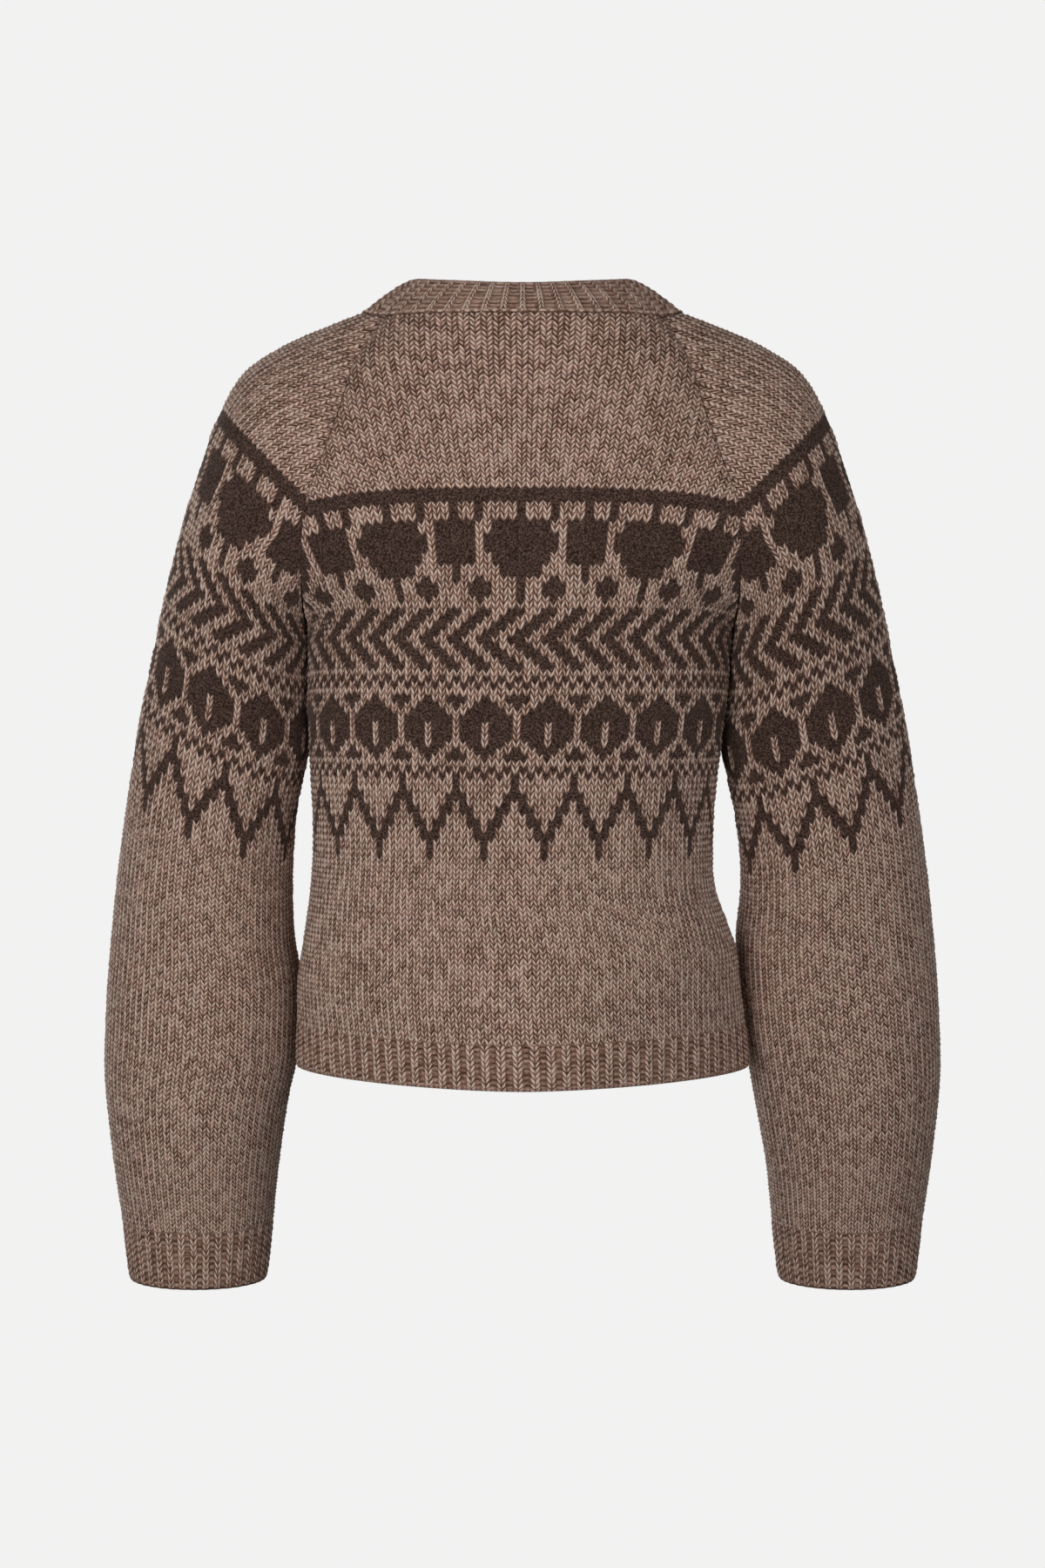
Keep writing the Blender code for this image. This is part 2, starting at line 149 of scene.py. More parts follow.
def floorMaterial(look):
    material = bpy.data.materials.new("paleFloor")
    material.use_nodes = True
    tree = material.node_tree
    shader = tree.nodes["Principled BSDF"]
    shader.inputs["Base Color"].default_value = (*look["colour"], 1.0)
    shader.inputs["Roughness"].default_value = look["rough"]
    place = addNode(tree, "TexCoord", {}).outputs["Object"]
    reach = addNode(tree, "VectorMath", {0: place}, operation="LENGTH").outputs["Value"]
    fade = rangeNode(tree, reach, look["solidTo"], look["clearFrom"], look["cover"], 0.0)
    tree.links.new(fade, shader.inputs["Alpha"])
    return material


# A pale disc that fades out, so that no horizon line shows
def addFloor(look):
    steps, rings = look["steps"], look["rings"]
    points = [(0.0, 0.0, 0.0)]
    for ring in range(1, rings + 1):
        reach = look["radius"] * (ring / rings) ** look["crowding"]
        for step in range(steps):
            turn = 2 * math.pi * step / steps
            points.append((reach * math.cos(turn), reach * math.sin(turn), 0.0))
    faces = [(0, 1 + step, 1 + (step + 1) % steps) for step in range(steps)]
    for ring in range(rings - 1):
        for step in range(steps):
            near = 1 + ring * steps
            far = near + steps
            following = (step + 1) % steps
            faces.append((near + step, far + step, far + following, near + following))
    mesh = bpy.data.meshes.new("floor")
    mesh.from_pydata(points, [], faces)
    mesh.materials.append(floorMaterial(look))
    floor = bpy.data.objects.new("floor", mesh)
    floor.location = (0.0, 0.0, look["height"])
    scene.collection.objects.link(floor)


addCamera(cameraSetup)
addWorld(backdrop)
addFloor(floorLook)
for name, look in lamps.items():
    addLamp(name, look)
print("camera, lamps and floor made")


# The garment's form, in rows of knitting counted down from the neck seam

rowsOf = {"underarm": 50, "bodyEnd": 114, "hemEnd": 121, "sleeveEnd": 148, "cuffEnd": 156}
wall = 0.003        # thickness of the cloth
denseColumns = 161  # points across a panel's form
bowPower = 3        # how late a row of the body bends down towards its sides
frontNeck = {"dropAtSeam": 2, "dropAtCentre": 16, "power": 2.0}

sleeveForm = {  # row: outer x, outer z, inner x left, inner x right, inner z, half depth, turn, tilt, y
    0: (.1076, -.0058, .0981, .0981, -.0097, .0392, 50, 0, 0),
    7: (.1389, -.0180, .1168, .1164, -.0390, .0596, 52, 0, 0),
    14: (.1693, -.0315, .1274, .1268, -.0727, .0784, 56, 0, 0),
    21: (.1961, -.0499, .1389, .1380, -.1054, .0879, 64, 0, 0),
    28: (.2132, -.0779, .1502, .1488, -.1377, .0894, 80, 0, 0),
    36: (.2268, -.1140, .1533, .1512, -.1757, .0825, 106, 1, 0),
    43: (.2373, -.1464, .1539, .1512, -.2061, .0750, 140, 3, 0),
    50: (.2465, -.1801, .1525, .1485, -.2360, .0665, 180, 4.5, 0),
    58: (.2565, -.2189, .1518, .1451, -.2749, .0630, 180, 6, -.010),
    66: (.2651, -.2581, .1510, .1412, -.3118, .0610, 180, 7, -.018),
    72: (.2715, -.2871, .1576, .1471, -.3405, .0605, 180, 8, -.022),
    78: (.2768, -.3167, .1627, .1527, -.3672, .0605, 180, 9, -.025),
    84: (.2818, -.3463, .1649, .1564, -.3933, .0610, 180, 10, -.027),
    91: (.2870, -.3808, .1657, .1570, -.4239, .0616, 180, 9.6, -.029),
    98: (.2917, -.4153, .1648, .1540, -.4545, .0620, 180, 9, -.031),
    105: (.2956, -.4509, .1604, .1552, -.4843, .0626, 180, 8, -.033),
    112: (.2990, -.4867, .1608, .1582, -.5143, .0630, 180, 7, -.034),
    118: (.3008, -.5177, .1622, .1624, -.5404, .0627, 180, 6, -.035),
    124: (.3019, -.5485, .1684, .1670, -.5665, .0620, 180, 5, -.036),
    136: (.2969, -.6105, .1765, .1765, -.6178, .0565, 180, 3, -.037),
    148: (.2900, -.6633, .1817, .1817, -.6634, .0500, 180, 1, -.037),
    156: (.2854, -.7052, .1865, .1865, -.7053, .0460, 180, 0, -.037),
}
sideForm = {  # row: left x, right x, z
    50: (.1525, .1485, -.2360), 58: (.1524, .1456, -.2710), 66: (.1520, .1422, -.3046),
    72: (.1504, .1386, -.3302), 78: (.1492, .1362, -.3564), 85: (.1487, .1350, -.3866),
    92: (.1510, .1372, -.4169), 98: (.1544, .1466, -.4425), 102: (.1573, .1525, -.4599),
    106: (.1602, .1545, -.4773), 114: (.1612, .1592, -.5121), 121: (.1618, .1622, -.5436),
}
centreForm = {  # row: z, back y, front y, turn, power (1 gives an ellipse, less a squarer ring)
    0: (-.0068, .0720, -.0700, 60, 1), 7: (-.0367, .0820, -.0840, 52, 1),
    14: (-.0666, .0895, -.0960, 46, 1), 21: (-.0967, .0970, -.1060, 42, 1),
    28: (-.1267, .1030, -.1140, 42, 1), 36: (-.1622, .1070, -.1200, 52, 1),
    43: (-.1931, .1085, -.1240, 68, 1), 50: (-.2246, .1080, -.1250, 90, 1),
    60: (-.2694, .1035, -.1215, 90, .93), 72: (-.3234, .0975, -.1135, 90, .90),
    85: (-.3821, .0945, -.1060, 90, .90), 98: (-.4402, .0995, -.1060, 90, .94),
    106: (-.4767, .1055, -.1090, 90, 1.06), 114: (-.5123, .1100, -.1115, 90, 1.18),
    121: (-.5438, .1115, -.1120, 90, 1.25),
}


def unit(vectors):
    return vectors / np.maximum(np.linalg.norm(vectors, axis=-1, keepdims=True), 1e-12)


# Smooth curves through a table's lines, read at whole rows
def curvesOf(table, rows):
    stations = np.array(sorted(table), float)
    values = np.array([table[row] for row in sorted(table)], float)
    cell = np.clip(np.searchsorted(stations, rows, side="right") - 1, 0, len(stations) - 2)
    width = (stations[cell + 1] - stations[cell])[:, None]
    t = (rows - stations[cell])[:, None] / width
    slopes = np.gradient(values, stations, axis=0)
    return (
        (2 * t**3 - 3 * t**2 + 1) * values[cell] + (t**3 - 2 * t**2 + t) * width * slopes[cell]
        + (3 * t**2 - 2 * t**3) * values[cell + 1] + (t**3 - t**2) * width * slopes[cell + 1]
    )


# Values that belong to a line's points, read at so many even steps along it
def evenlyAlong(line, values, count):
    run = np.concatenate([[0.0], np.cumsum(np.linalg.norm(np.diff(line, axis=0), axis=1))])
    wanted = np.linspace(0.0, run[-1], count)
    return np.stack([np.interp(wanted, run, values[:, axis]) for axis in range(3)], axis=1)


# From the back seam (across -1) over the top to the front seam (+1)
def sleeveSurface(side):
    rows = np.arange(rowsOf["cuffEnd"] + 1)
    lines = []
    for row, at in zip(rows, curvesOf(sleeveForm, rows)):
        outerX, outerZ, innerLeft, innerRight, innerZ, halfDepth, turn, tilt, hangY = at
        hangY = hangY if row > rowsOf["underarm"] else 0.0
        outer = np.array([side * outerX, hangY, outerZ])
        inner = np.array([side * (innerLeft if side > 0 else innerRight), hangY, innerZ])
        turn = math.radians(min(turn, 180.0)) if row < rowsOf["underarm"] else math.pi
        halfWidth = np.linalg.norm(outer - inner) / (1 - math.cos(turn))
        outward = unit(outer - inner)
        backward = np.array([0.0, math.cos(math.radians(tilt)), -math.sin(math.radians(tilt))])
        angle = np.linspace(turn, -turn, denseColumns)[:, None]
        centre = outer - halfWidth * outward
        line = centre + halfWidth * np.cos(angle) * outward + halfDepth * np.sin(angle) * backward
        lines.append(evenlyAlong(line, line, denseColumns))
    return np.array(lines)


# The back (face 1) or the front (face -1), from -X to +X
def bodySurface(face):
    rows = np.arange(rowsOf["hemEnd"] + 1)
    sides = curvesOf(sideForm, rows)
    centres = curvesOf(centreForm, rows)
    across = np.linspace(-1.0, 1.0, denseColumns)
    seam = 0 if face > 0 else -1
    lines = []
    for row in rows:
        if row <= rowsOf["underarm"]:
            right, left = surface["sleeve", -1][row, seam], surface["sleeve", 1][row, seam]
        else:
            right = np.array([-sides[row, 1], 0.0, sides[row, 2]])
            left = np.array([sides[row, 0], 0.0, sides[row, 2]])
        centreZ, backY, frontY, turn, power = centres[row]
        middleY = backY if face > 0 else frontY
        turn = math.radians(turn) if row < rowsOf["underarm"] else math.pi / 2
        angle = turn * across
        reach = (np.abs(np.sin(angle)) / math.sin(turn)) ** power
        bulge = np.clip((np.cos(angle) - math.cos(turn)) / (1 - math.cos(turn)), 0, 1) ** power
        bow = 1 - np.abs(across) ** bowPower
        edge = np.where(across[:, None] < 0, right, left)
        line = np.stack([
            edge[:, 0] * reach,
            edge[:, 1] + (middleY - edge[:, 1]) * bulge,
            edge[:, 2] + (centreZ - edge[:, 2]) * bow,
        ], axis=1)
        lines.append(evenlyAlong(line, line, denseColumns))
    return np.array(lines)


def outwardNormals(points, middle):
    normals = unit(np.cross(np.gradient(points, axis=0), np.gradient(points, axis=1)))
    return normals * np.sign(np.median(np.sum(normals * (points - middle), axis=2)))


def read(grid, rows, across):
    rows = np.asarray(rows, float)
    place = (np.asarray(across, float) + 1) / 2 * (grid.shape[1] - 1)
    row0 = np.clip(np.floor(rows).astype(int), 0, grid.shape[0] - 2)
    col0 = np.clip(np.floor(place).astype(int), 0, grid.shape[1] - 2)
    t, s = (rows - row0)[..., None], (place - col0)[..., None]
    upper = grid[row0, col0] * (1 - s) + grid[row0, col0 + 1] * s
    lower = grid[row0 + 1, col0] * (1 - s) + grid[row0 + 1, col0 + 1] * s
    return upper * (1 - t) + lower * t


# Points of the form, and the way out of it at each
def onForm(key, rows, across):
    return read(surface[key], rows, across), unit(read(normal[key], rows, across))


surface = {("sleeve", side): sleeveSurface(side) for side in (1, -1)}
for face in (1, -1):
    surface["body", face] = bodySurface(face)
normal = {}
for key, grid in surface.items():
    flatten = np.array([1.0, 0.0, 1.0]) if key[0] == "body" else 1.0
    normal[key] = outwardNormals(grid, grid.mean(axis=1, keepdims=True) * flatten)
print("form worked out")


# The pattern. Its rows count from the first dark one, and a width is the stitches to each side of the middle

bands = {
    "firstRow": 28,
    "upperRepeat": 16,
    "lineRows": (0, 1),
    "dashRows": (2, 4),
    "budWidth": {5: 3, 6: 3, 7: 4, 8: 4, 9: 4, 10: 3, 11: 3, 12: 2, 13: 2, 14: 0, 15: 0, 16: 0, 17: 0},
    "smallBudWidth": {5: 2, 6: 2, 7: 2, 8: 2, 9: 2, 10: 2, 11: 2, 12: 0, 13: 0, 14: 0},
    "dotWidth": {14: 0, 15: 1, 16: 1, 17: 0},
    "chevron": {"rows": (19, 27), "point": 23, "repeat": 4, "light": 2, "start": 1},
    "liceRows": {29: 0, 30: 1, 43: 1, 44: 0},  # row: which stitch of every two is dark
    "lowerRepeat": 8,
    "beanWidth": {32: 0, 33: 1, 34: 2, 35: 3, 36: 3, 37: 3, 38: 3, 39: 2, 40: 1, 41: 0},
    "beanSlit": (36, 39),
    "triangleWidth": {32: 1, 33: 0, 40: 0, 41: 1},
    "zigzag": ((45, 47), (47, 49), (49, 51), (51, 53), (53, 56)),  # rows at each stitch away from a peak
}
bodyChart = {"way": -1, "dots": (4, 11), "lowerShift": 0}
sleeveChart = {"way": 1, "dots": (4, 12), "lowerShift": 4}


def between(row, ends):
    return (row >= ends[0]) & (row <= ends[1])


def within(distance, row, widths):
    found = np.zeros(np.broadcast(distance, row).shape, bool)
    for bandRow, width in widths.items():
        found |= (row == bandRow) & (distance <= width)
    return found


# True where the dark yarn shows; a panel without a chart has none
def darkYarn(stitch, row, chart):
    dark = np.zeros(np.broadcast(stitch, row).shape, bool)
    if chart is None:
        return dark
    stitch = stitch * chart["way"]
    repeat = stitch % bands["upperRepeat"]
    halfway = bands["upperRepeat"] // 2
    dark |= between(row, bands["lineRows"])
    dark |= between(row, bands["dashRows"]) & np.isin(repeat, (0, halfway, *chart["dots"]))
    dark |= within(np.minimum(repeat, bands["upperRepeat"] - repeat), row, bands["budWidth"])
    dark |= within(np.abs(repeat - halfway), row, bands["smallBudWidth"])
    for dot in chart["dots"]:
        dark |= within(np.abs(repeat - dot), row, bands["dotWidth"])
    chevron = bands["chevron"]
    climb = stitch - chevron["start"] - np.abs(row - chevron["point"])
    dark |= between(row, chevron["rows"]) & (climb % chevron["repeat"] >= chevron["light"])
    for liceRow, which in bands["liceRows"].items():
        dark |= (row == liceRow) & (stitch % 2 == which)
    low = (stitch + chart["lowerShift"]) % bands["lowerRepeat"]
    fromBean = np.abs(low - bands["lowerRepeat"] // 2)
    dark |= within(fromBean, row, bands["beanWidth"]) & ~((fromBean == 0) & between(row, bands["beanSlit"]))
    fromPeak = np.minimum(low, bands["lowerRepeat"] - low)
    dark |= within(fromPeak, row, bands["triangleWidth"])
    for step, ends in enumerate(bands["zigzag"]):
        dark |= (fromPeak == step) & between(row, ends)
    return dark


# The mesh of a knitted piece

weldSize = 2e-5  # points closer than this become one


# Two cells back to back on the same points enclose nothing, so neither is kept
def withoutFolds(faces, keptCorner):
    _, group = np.unique(np.sort(np.where(keptCorner, faces, -1), axis=1), axis=0, return_inverse=True)
    group = group.ravel()
    fromLowest = (faces.argmin(axis=1)[:, None] + np.arange(4)) % 4
    lowest, second, third, fourth = np.take_along_axis(faces, fromLowest, axis=1).T
    following = np.where(second != lowest, second, third)
    before = np.where(fourth != lowest, fourth, third)
    facing = np.sign(before - following)
    balance = np.sign(np.bincount(group, weights=facing))
    candidate = np.flatnonzero((facing == balance[group]) & (facing != 0))
    _, first = np.unique(group[candidate], return_index=True)
    return np.sort(candidate[first])


# Grids of points gathered into one mesh
class Sheet:
    def __init__(self):
        self.points, self.faces, self.yarn, self.legs, self.count = [], [], [], [], 0

    # Adds a grid of points; yarn is given for each cell or for each corner of one
    def add(self, points, yarn, legs):
        rows, columns = points.shape[:2]
        corner = np.arange(rows * columns).reshape(rows, columns) + self.count
        quads = np.stack([corner[:-1, :-1], corner[1:, :-1], corner[1:, 1:], corner[:-1, 1:]], axis=-1)
        if yarn.ndim == 3:
            yarn = np.repeat(yarn[:, :, None], 4, axis=2)
        self.points.append(points.reshape(-1, 3))
        self.count += rows * columns
        self.faces.append(quads.reshape(-1, 4))
        self.yarn.append(yarn.reshape(-1, 4, 3))
        self.legs.append(legs.reshape(-1, 4, 2))

    # Points in one place become one, and cells squeezed to nothing go
    def welded(self, outward):
        points, faces = np.concatenate(self.points), np.concatenate(self.faces)
        steps = np.rint(points / weldSize).astype(np.int64)
        _, first, index = np.unique(steps, axis=0, return_index=True, return_inverse=True)
        points, faces = points[first], index.ravel()[faces]
        keptCorner = faces != np.roll(faces, -1, axis=1)
        whole = (keptCorner.sum(axis=1) >= 3) & (faces[:, 0] != faces[:, 2]) & (faces[:, 1] != faces[:, 3])
        chosen = np.flatnonzero(whole)
        chosen = chosen[withoutFolds(faces[chosen], keptCorner[chosen])]
        order = slice(None, None, 1 if outward else -1)
        parts = (faces, keptCorner, np.concatenate(self.yarn), np.concatenate(self.legs))
        faces, keptCorner, yarn, legs = (part[chosen][:, order] for part in parts)
        used, index = np.unique(faces, return_inverse=True)
        return points[used], index.reshape(-1, 4), keptCorner, yarn[keptCorner], legs[keptCorner]

    def build(self, name, material, outward):
        points, faces, keptCorner, yarn, legs = self.welded(outward)
        sides = keptCorner.sum(axis=1)
        corners = int(sides.sum())
        mesh = bpy.data.meshes.new(name)
        mesh.vertices.add(len(points))
        mesh.vertices.foreach_set("co", points.astype(np.float32).ravel())
        mesh.loops.add(corners)
        mesh.loops.foreach_set("vertex_index", faces[keptCorner].astype(np.int32))
        mesh.polygons.add(len(faces))
        mesh.polygons.foreach_set("loop_start", (np.cumsum(sides) - sides).astype(np.int32))
        mesh.update(calc_edges=True)
        colour = mesh.attributes.new("yarn", "FLOAT_COLOR", "CORNER")
        opaque = np.concatenate([yarn, np.ones((corners, 1))], axis=1)
        colour.data.foreach_set("color", opaque.astype(np.float32).ravel())
        layer = mesh.uv_layers.new(name="legs")
        layer.uv.foreach_set("vector", legs.astype(np.float32).ravel())
        mesh.shade_smooth()
        mesh.materials.append(material)
        obj = bpy.data.objects.new(name, mesh)
        scene.collection.objects.link(obj)
        print(name, len(mesh.polygons), "faces")
        return obj


# Two values for each point of a grid, handed to the four corners of each cell
def cornersOf(first, second):
    pair = np.stack([first, second], axis=-1)
    lastRow, lastColumn = pair.shape[0] - 1, pair.shape[1] - 1
    corners = ((0, 0), (1, 0), (1, 1), (0, 1))
    return np.stack([pair[a:lastRow + a, b:lastColumn + b] for a, b in corners], axis=-2)


# The mean of the cells round each point
def aroundPoints(cells):
    wide = np.pad(cells, 1, mode="edge")
    return (wide[:-1, :-1] + wide[1:, :-1] + wide[:-1, 1:] + wide[1:, 1:]) / 4


# One random tone for each leg of each row of stitches
def legTones(rng, stitchRow, leg, grid):
    number = (stitchRow[:, None] + grid["spare"]) * grid["stride"] + leg[None, :] + grid["spare"]
    return rng.random(number.max() + 1)[number]


# Stockinette

stitchShape = {
    "across": 4,          # cells across a stitch
    "down": 3,            # cells down a row of the pattern
    "plainDown": 2,       # cells down a row of the plain knit
    "slant": 1.1,         # rows that a leg climbs
    "height": 0.00135,    # how far a leg stands out
    "leastHeight": 0.75,  # share of the height that the flattest leg has
    "heightSpread": 0.5,
    "valley": 0.22,       # what is left of the height between two rows
    "tips": (0.42, 1.0, 0.26),  # at the foot, the middle and the top of a leg
    "darkHeight": 0.5,    # share of the height where the dark yarn shows
    "sunk": 0.00045,      # how far the cloth lies below the form
    "seamSink": 0.0013,   # how much further down it lies at the seams on its sides
    "seamReach": 0.7,     # in stitches
    "neckSink": 0.0005,   # and at the neckline
    "neckReach": 0.6,     # in rows
    "foot": 0.25,         # cells this near the middle of a stitch read the chart one cell further down
    "insideRows": 16,
    "insideTone": 0.4,
    "rounds": 6,          # of finding a stitch's row from its place and its place from its row
    "cutRows": 2,         # rows squeezed onto an edge that is cut
}
# the plain knit's rows are closer together than those of the pattern
stitchRun = {"topStitches": 36, "patternEnd": 85, "bodyPitch": 0.84, "sleevePitch": 0.74, "rowsPast": 3}
wideMiddle = {"fromRow": 26, "overRows": 22, "bodyExtra": 0.15, "most": 3.55, "within": 3.4}
panelTones = {"spare": 400, "stride": 1000}  # numbers the legs, so that each has its own tone
strandTones = {"before": 200, "length": 5200, "apart": 3880.0}  # in legs, along one long strand


def smoothstep(value):
    value = np.clip(value, 0.0, 1.0)
    return value * value * (3 - 2 * value)


# Stitch columns grow wider down to below the buds, by about a share extra, in the middle few of the body
def widened(column, row, extra):
    amount = extra * smoothstep((row - wideMiddle["fromRow"]) / wideMiddle["overRows"])
    return column + amount * wideMiddle["most"] * np.tanh(column / wideMiddle["within"])


# Form rows at which the rows of stitches start, a few past the end as well
def stitchRowsTo(end, pitch):
    firstRow, patternEnd = bands["firstRow"], stitchRun["patternEnd"]
    plainCount = int(round((end - patternEnd) / pitch))
    return np.concatenate([
        np.linspace(0, firstRow, stitchRun["topStitches"], endpoint=False),
        np.arange(firstRow, patternEnd),
        np.linspace(patternEnd, end, plainCount + 1),
        end + pitch * np.arange(1, stitchRun["rowsPast"] + 1),
    ])


def lastStitchRow(rows):
    return len(rows) - 1 - stitchRun["rowsPast"]


# The lines of points down a panel, counted in rows of stitches
def stitchSteps(panel):
    rows = panel["rows"]
    first = panel["span"][0] - stitchShape["cutRows"] * panel["cutTop"]
    last = panel["span"][1] + stitchShape["cutRows"] * panel["cutBottom"]
    steps = []
    for number in range(first, last):
        start = rows[min(max(number, 0), len(rows) - 1)]
        plain = start < bands["firstRow"] or start >= stitchRun["patternEnd"]
        parts = stitchShape["plainDown" if plain else "down"]
        steps.extend(number + part / parts for part in range(parts))
    return np.array([*steps, last], float)


# For each point: its row on the form, its place across (-1 to 1), half the stitches there, if it is squeezed
def layStitches(panel, steps, column, fromMiddle):
    rows, extra = panel["rows"], panel["extra"]
    numbers = np.arange(len(rows))
    stations = sorted(panel["counts"])
    halves = [panel["counts"][station] for station in stations]
    level = np.interp(steps, numbers, rows)[:, None]
    half = np.interp(level, stations, halves)
    pastEdge = np.abs(widened(column, level, extra)) >= widened(half, level, extra)
    climbing = steps[:, None] + stitchShape["slant"] * (0.5 - fromMiddle[None, :])
    knitRow = np.where(pastEdge, level, np.interp(climbing, numbers, rows))
    top = rows[panel["span"][0]] if panel["cutTop"] else -math.inf
    bottom = rows[panel["span"][1]] if panel["cutBottom"] else math.inf
    row = np.clip(knitRow, top, bottom)
    for _ in range(stitchShape["rounds"]):
        reach = widened(np.interp(row, stations, halves), row, extra)
        place = np.clip(widened(column, row, extra) / reach, -1, 1)
        place = np.where(pastEdge, np.sign(column), place)
        row = np.maximum(row, panel["firstRow"](place))
    return row, place, reach, pastEdge | (row != knitRow)


# True for the cells that the dark yarn covers. Their edges run flatter than the legs climb
def darkCells(panel, steps, column):
    down = stitchShape["down"]
    middle = (column[:-1] + column[1:]) / 2
    stitch = np.round(middle).astype(int)
    lowered = np.where(np.abs(middle - stitch) < stitchShape["foot"], 1, 0) / down
    middleOfCell = steps[:-1, None] + lowered[None, :] + 0.5 / down
    formRow = np.interp(middleOfCell, np.arange(len(panel["rows"])), panel["rows"])
    chartRow = np.floor(formRow).astype(int) - bands["firstRow"]
    dark = darkYarn(stitch[None, :], chartRow, panel["chart"])
    longer = dark & ~np.isin(chartRow, tuple(bands["liceRows"]))
    dark[1:] |= longer[:-1]
    return dark.astype(float)


# How far each point stands out of the form
def stitchHeight(panel, steps, fromMiddle, laid, darkness, tone):
    shape = stitchShape
    row, place, reach, squeezed = laid
    tips = np.interp(fromMiddle, (0.0, 0.5, 1.0), shape["tips"])
    ridge = np.where(steps % 1 == 0, shape["valley"], 1.0)[:, None] * tips[None, :]
    uneven = shape["leastHeight"] + shape["heightSpread"] * aroundPoints(tone)
    height = shape["height"] * (1 - (1 - shape["darkHeight"]) * darkness) * uneven * ridge
    height = np.where(squeezed, shape["height"] * shape["valley"], height)
    fromSeam = (1 - np.abs(place)) * reach
    height = height - shape["sunk"] - shape["seamSink"] * np.exp(-(fromSeam / shape["seamReach"]) ** 2)
    if panel["cutTop"]:
        fromNeck = row - panel["firstRow"](place)
        height = height - shape["neckSink"] * np.exp(-(fromNeck / shape["neckReach"]) ** 2)
    return height


# A grid with a border one point wide, which lies on the edges of the inside
def withRim(outer, inner, row):
    wide = np.zeros((outer.shape[0] + 2, outer.shape[1] + 2, 3))
    wide[1:-1, 1:-1] = outer
    wide[0, 1:-1], wide[-1, 1:-1] = inner[0], inner[-1]
    for edge in (0, -1):
        run = (row[:, edge] - row[0, edge]) / (row[-1, edge] - row[0, edge])
        wide[1:-1, edge] = inner[np.rint(run * (len(inner) - 1)).astype(int), edge]
        wide[0, edge], wide[-1, edge] = inner[0, edge], inner[-1, edge]
    return wide


# Two random tones for each leg: its own, and one that wanders along its row as the strand of yarn does
def panelLegTones(seed, stitchRow, legs):
    rng = np.random.default_rng(seed)
    tone = legTones(rng, stitchRow, legs, panelTones)
    strand = rng.random(stitchRow.max() + panelTones["spare"] + 1)[stitchRow + panelTones["spare"]]
    alongStrand = np.arange(strandTones["length"]) - strandTones["before"]
    strandPlace = legs[None, :] + strandTones["apart"] * strand[:, None]
    return tone, np.interp(strandPlace, alongStrand, rng.random(strandTones["length"]))


# The plain inside, and where its points lie on the form
def plainInside(panel, row, place):
    share = np.linspace(0.0, 1.0, stitchShape["insideRows"])[:, None]
    innerRow = row[0] + (row[-1] - row[0]) * share
    innerPlace = place[0] + (place[-1] - place[0]) * share
    point, away = onForm(panel["key"], innerRow, innerPlace)
    return point - wall * away, innerRow, innerPlace


# One panel with its plain inside and the narrow rims that join the two. In a panel, counts gives half the
# stitches at each row, firstRow the row of its top edge, and span its first and last rows of stitches
def knitPanel(panel):
    across = stitchShape["across"]
    most = int(math.ceil(max(panel["counts"].values())))
    column = np.arange(-most * across, most * across + 1) / across
    fromMiddle = 2 * np.abs(column - np.round(column))  # 1 between two stitches
    steps = stitchSteps(panel)
    laid = layStitches(panel, steps, column, fromMiddle)
    row, place = laid[:2]
    shifts = panel["shifts"]
    row = row + np.interp(row, sorted(shifts), [shifts[at] for at in sorted(shifts)])
    row = np.clip(row, 0, surface[panel["key"]].shape[0] - 1)
    stitchRow = np.floor(steps[:-1]).astype(int)
    legs = np.floor(column[:-1] + column[1:]).astype(int)
    tone, strandTone = panelLegTones(panel["seed"], stitchRow, legs)
    darkness = aroundPoints(darkCells(panel, steps, column))
    height = stitchHeight(panel, steps, fromMiddle, laid, darkness, tone)
    base, away = onForm(panel["key"], row, place)
    outer = base + away * height[..., None]
    inner, innerRow, innerPlace = plainInside(panel, row, place)
    strip = np.broadcast_to(steps[:, None], row.shape)
    cells = cornersOf(strip, np.broadcast_to(fromMiddle[None, :], row.shape))
    cells[..., 1] += 2 * legs[None, :, None]
    yarn = np.zeros((*cells.shape[:3], 3))
    yarn[..., 0] = cornersOf(darkness, darkness)[..., 0]
    yarn[..., 1] = tone[..., None]
    yarn[..., 2] = strandTone[..., None]
    border = ((1, 1), (1, 1), (0, 0), (0, 0))
    yarn, cells = (np.pad(part, border, mode="edge") for part in (yarn, cells))
    sheet = Sheet()
    sheet.add(withRim(outer, inner, row), yarn, cells)
    insideYarn = np.zeros((inner.shape[0] - 1, inner.shape[1] - 1, 3))
    insideYarn[..., 1:] = stitchShape["insideTone"]
    sheet.add(inner[:, ::-1], insideYarn, cornersOf(innerRow[:, ::-1], 2 * most * innerPlace[:, ::-1]))
    return sheet


# The wool

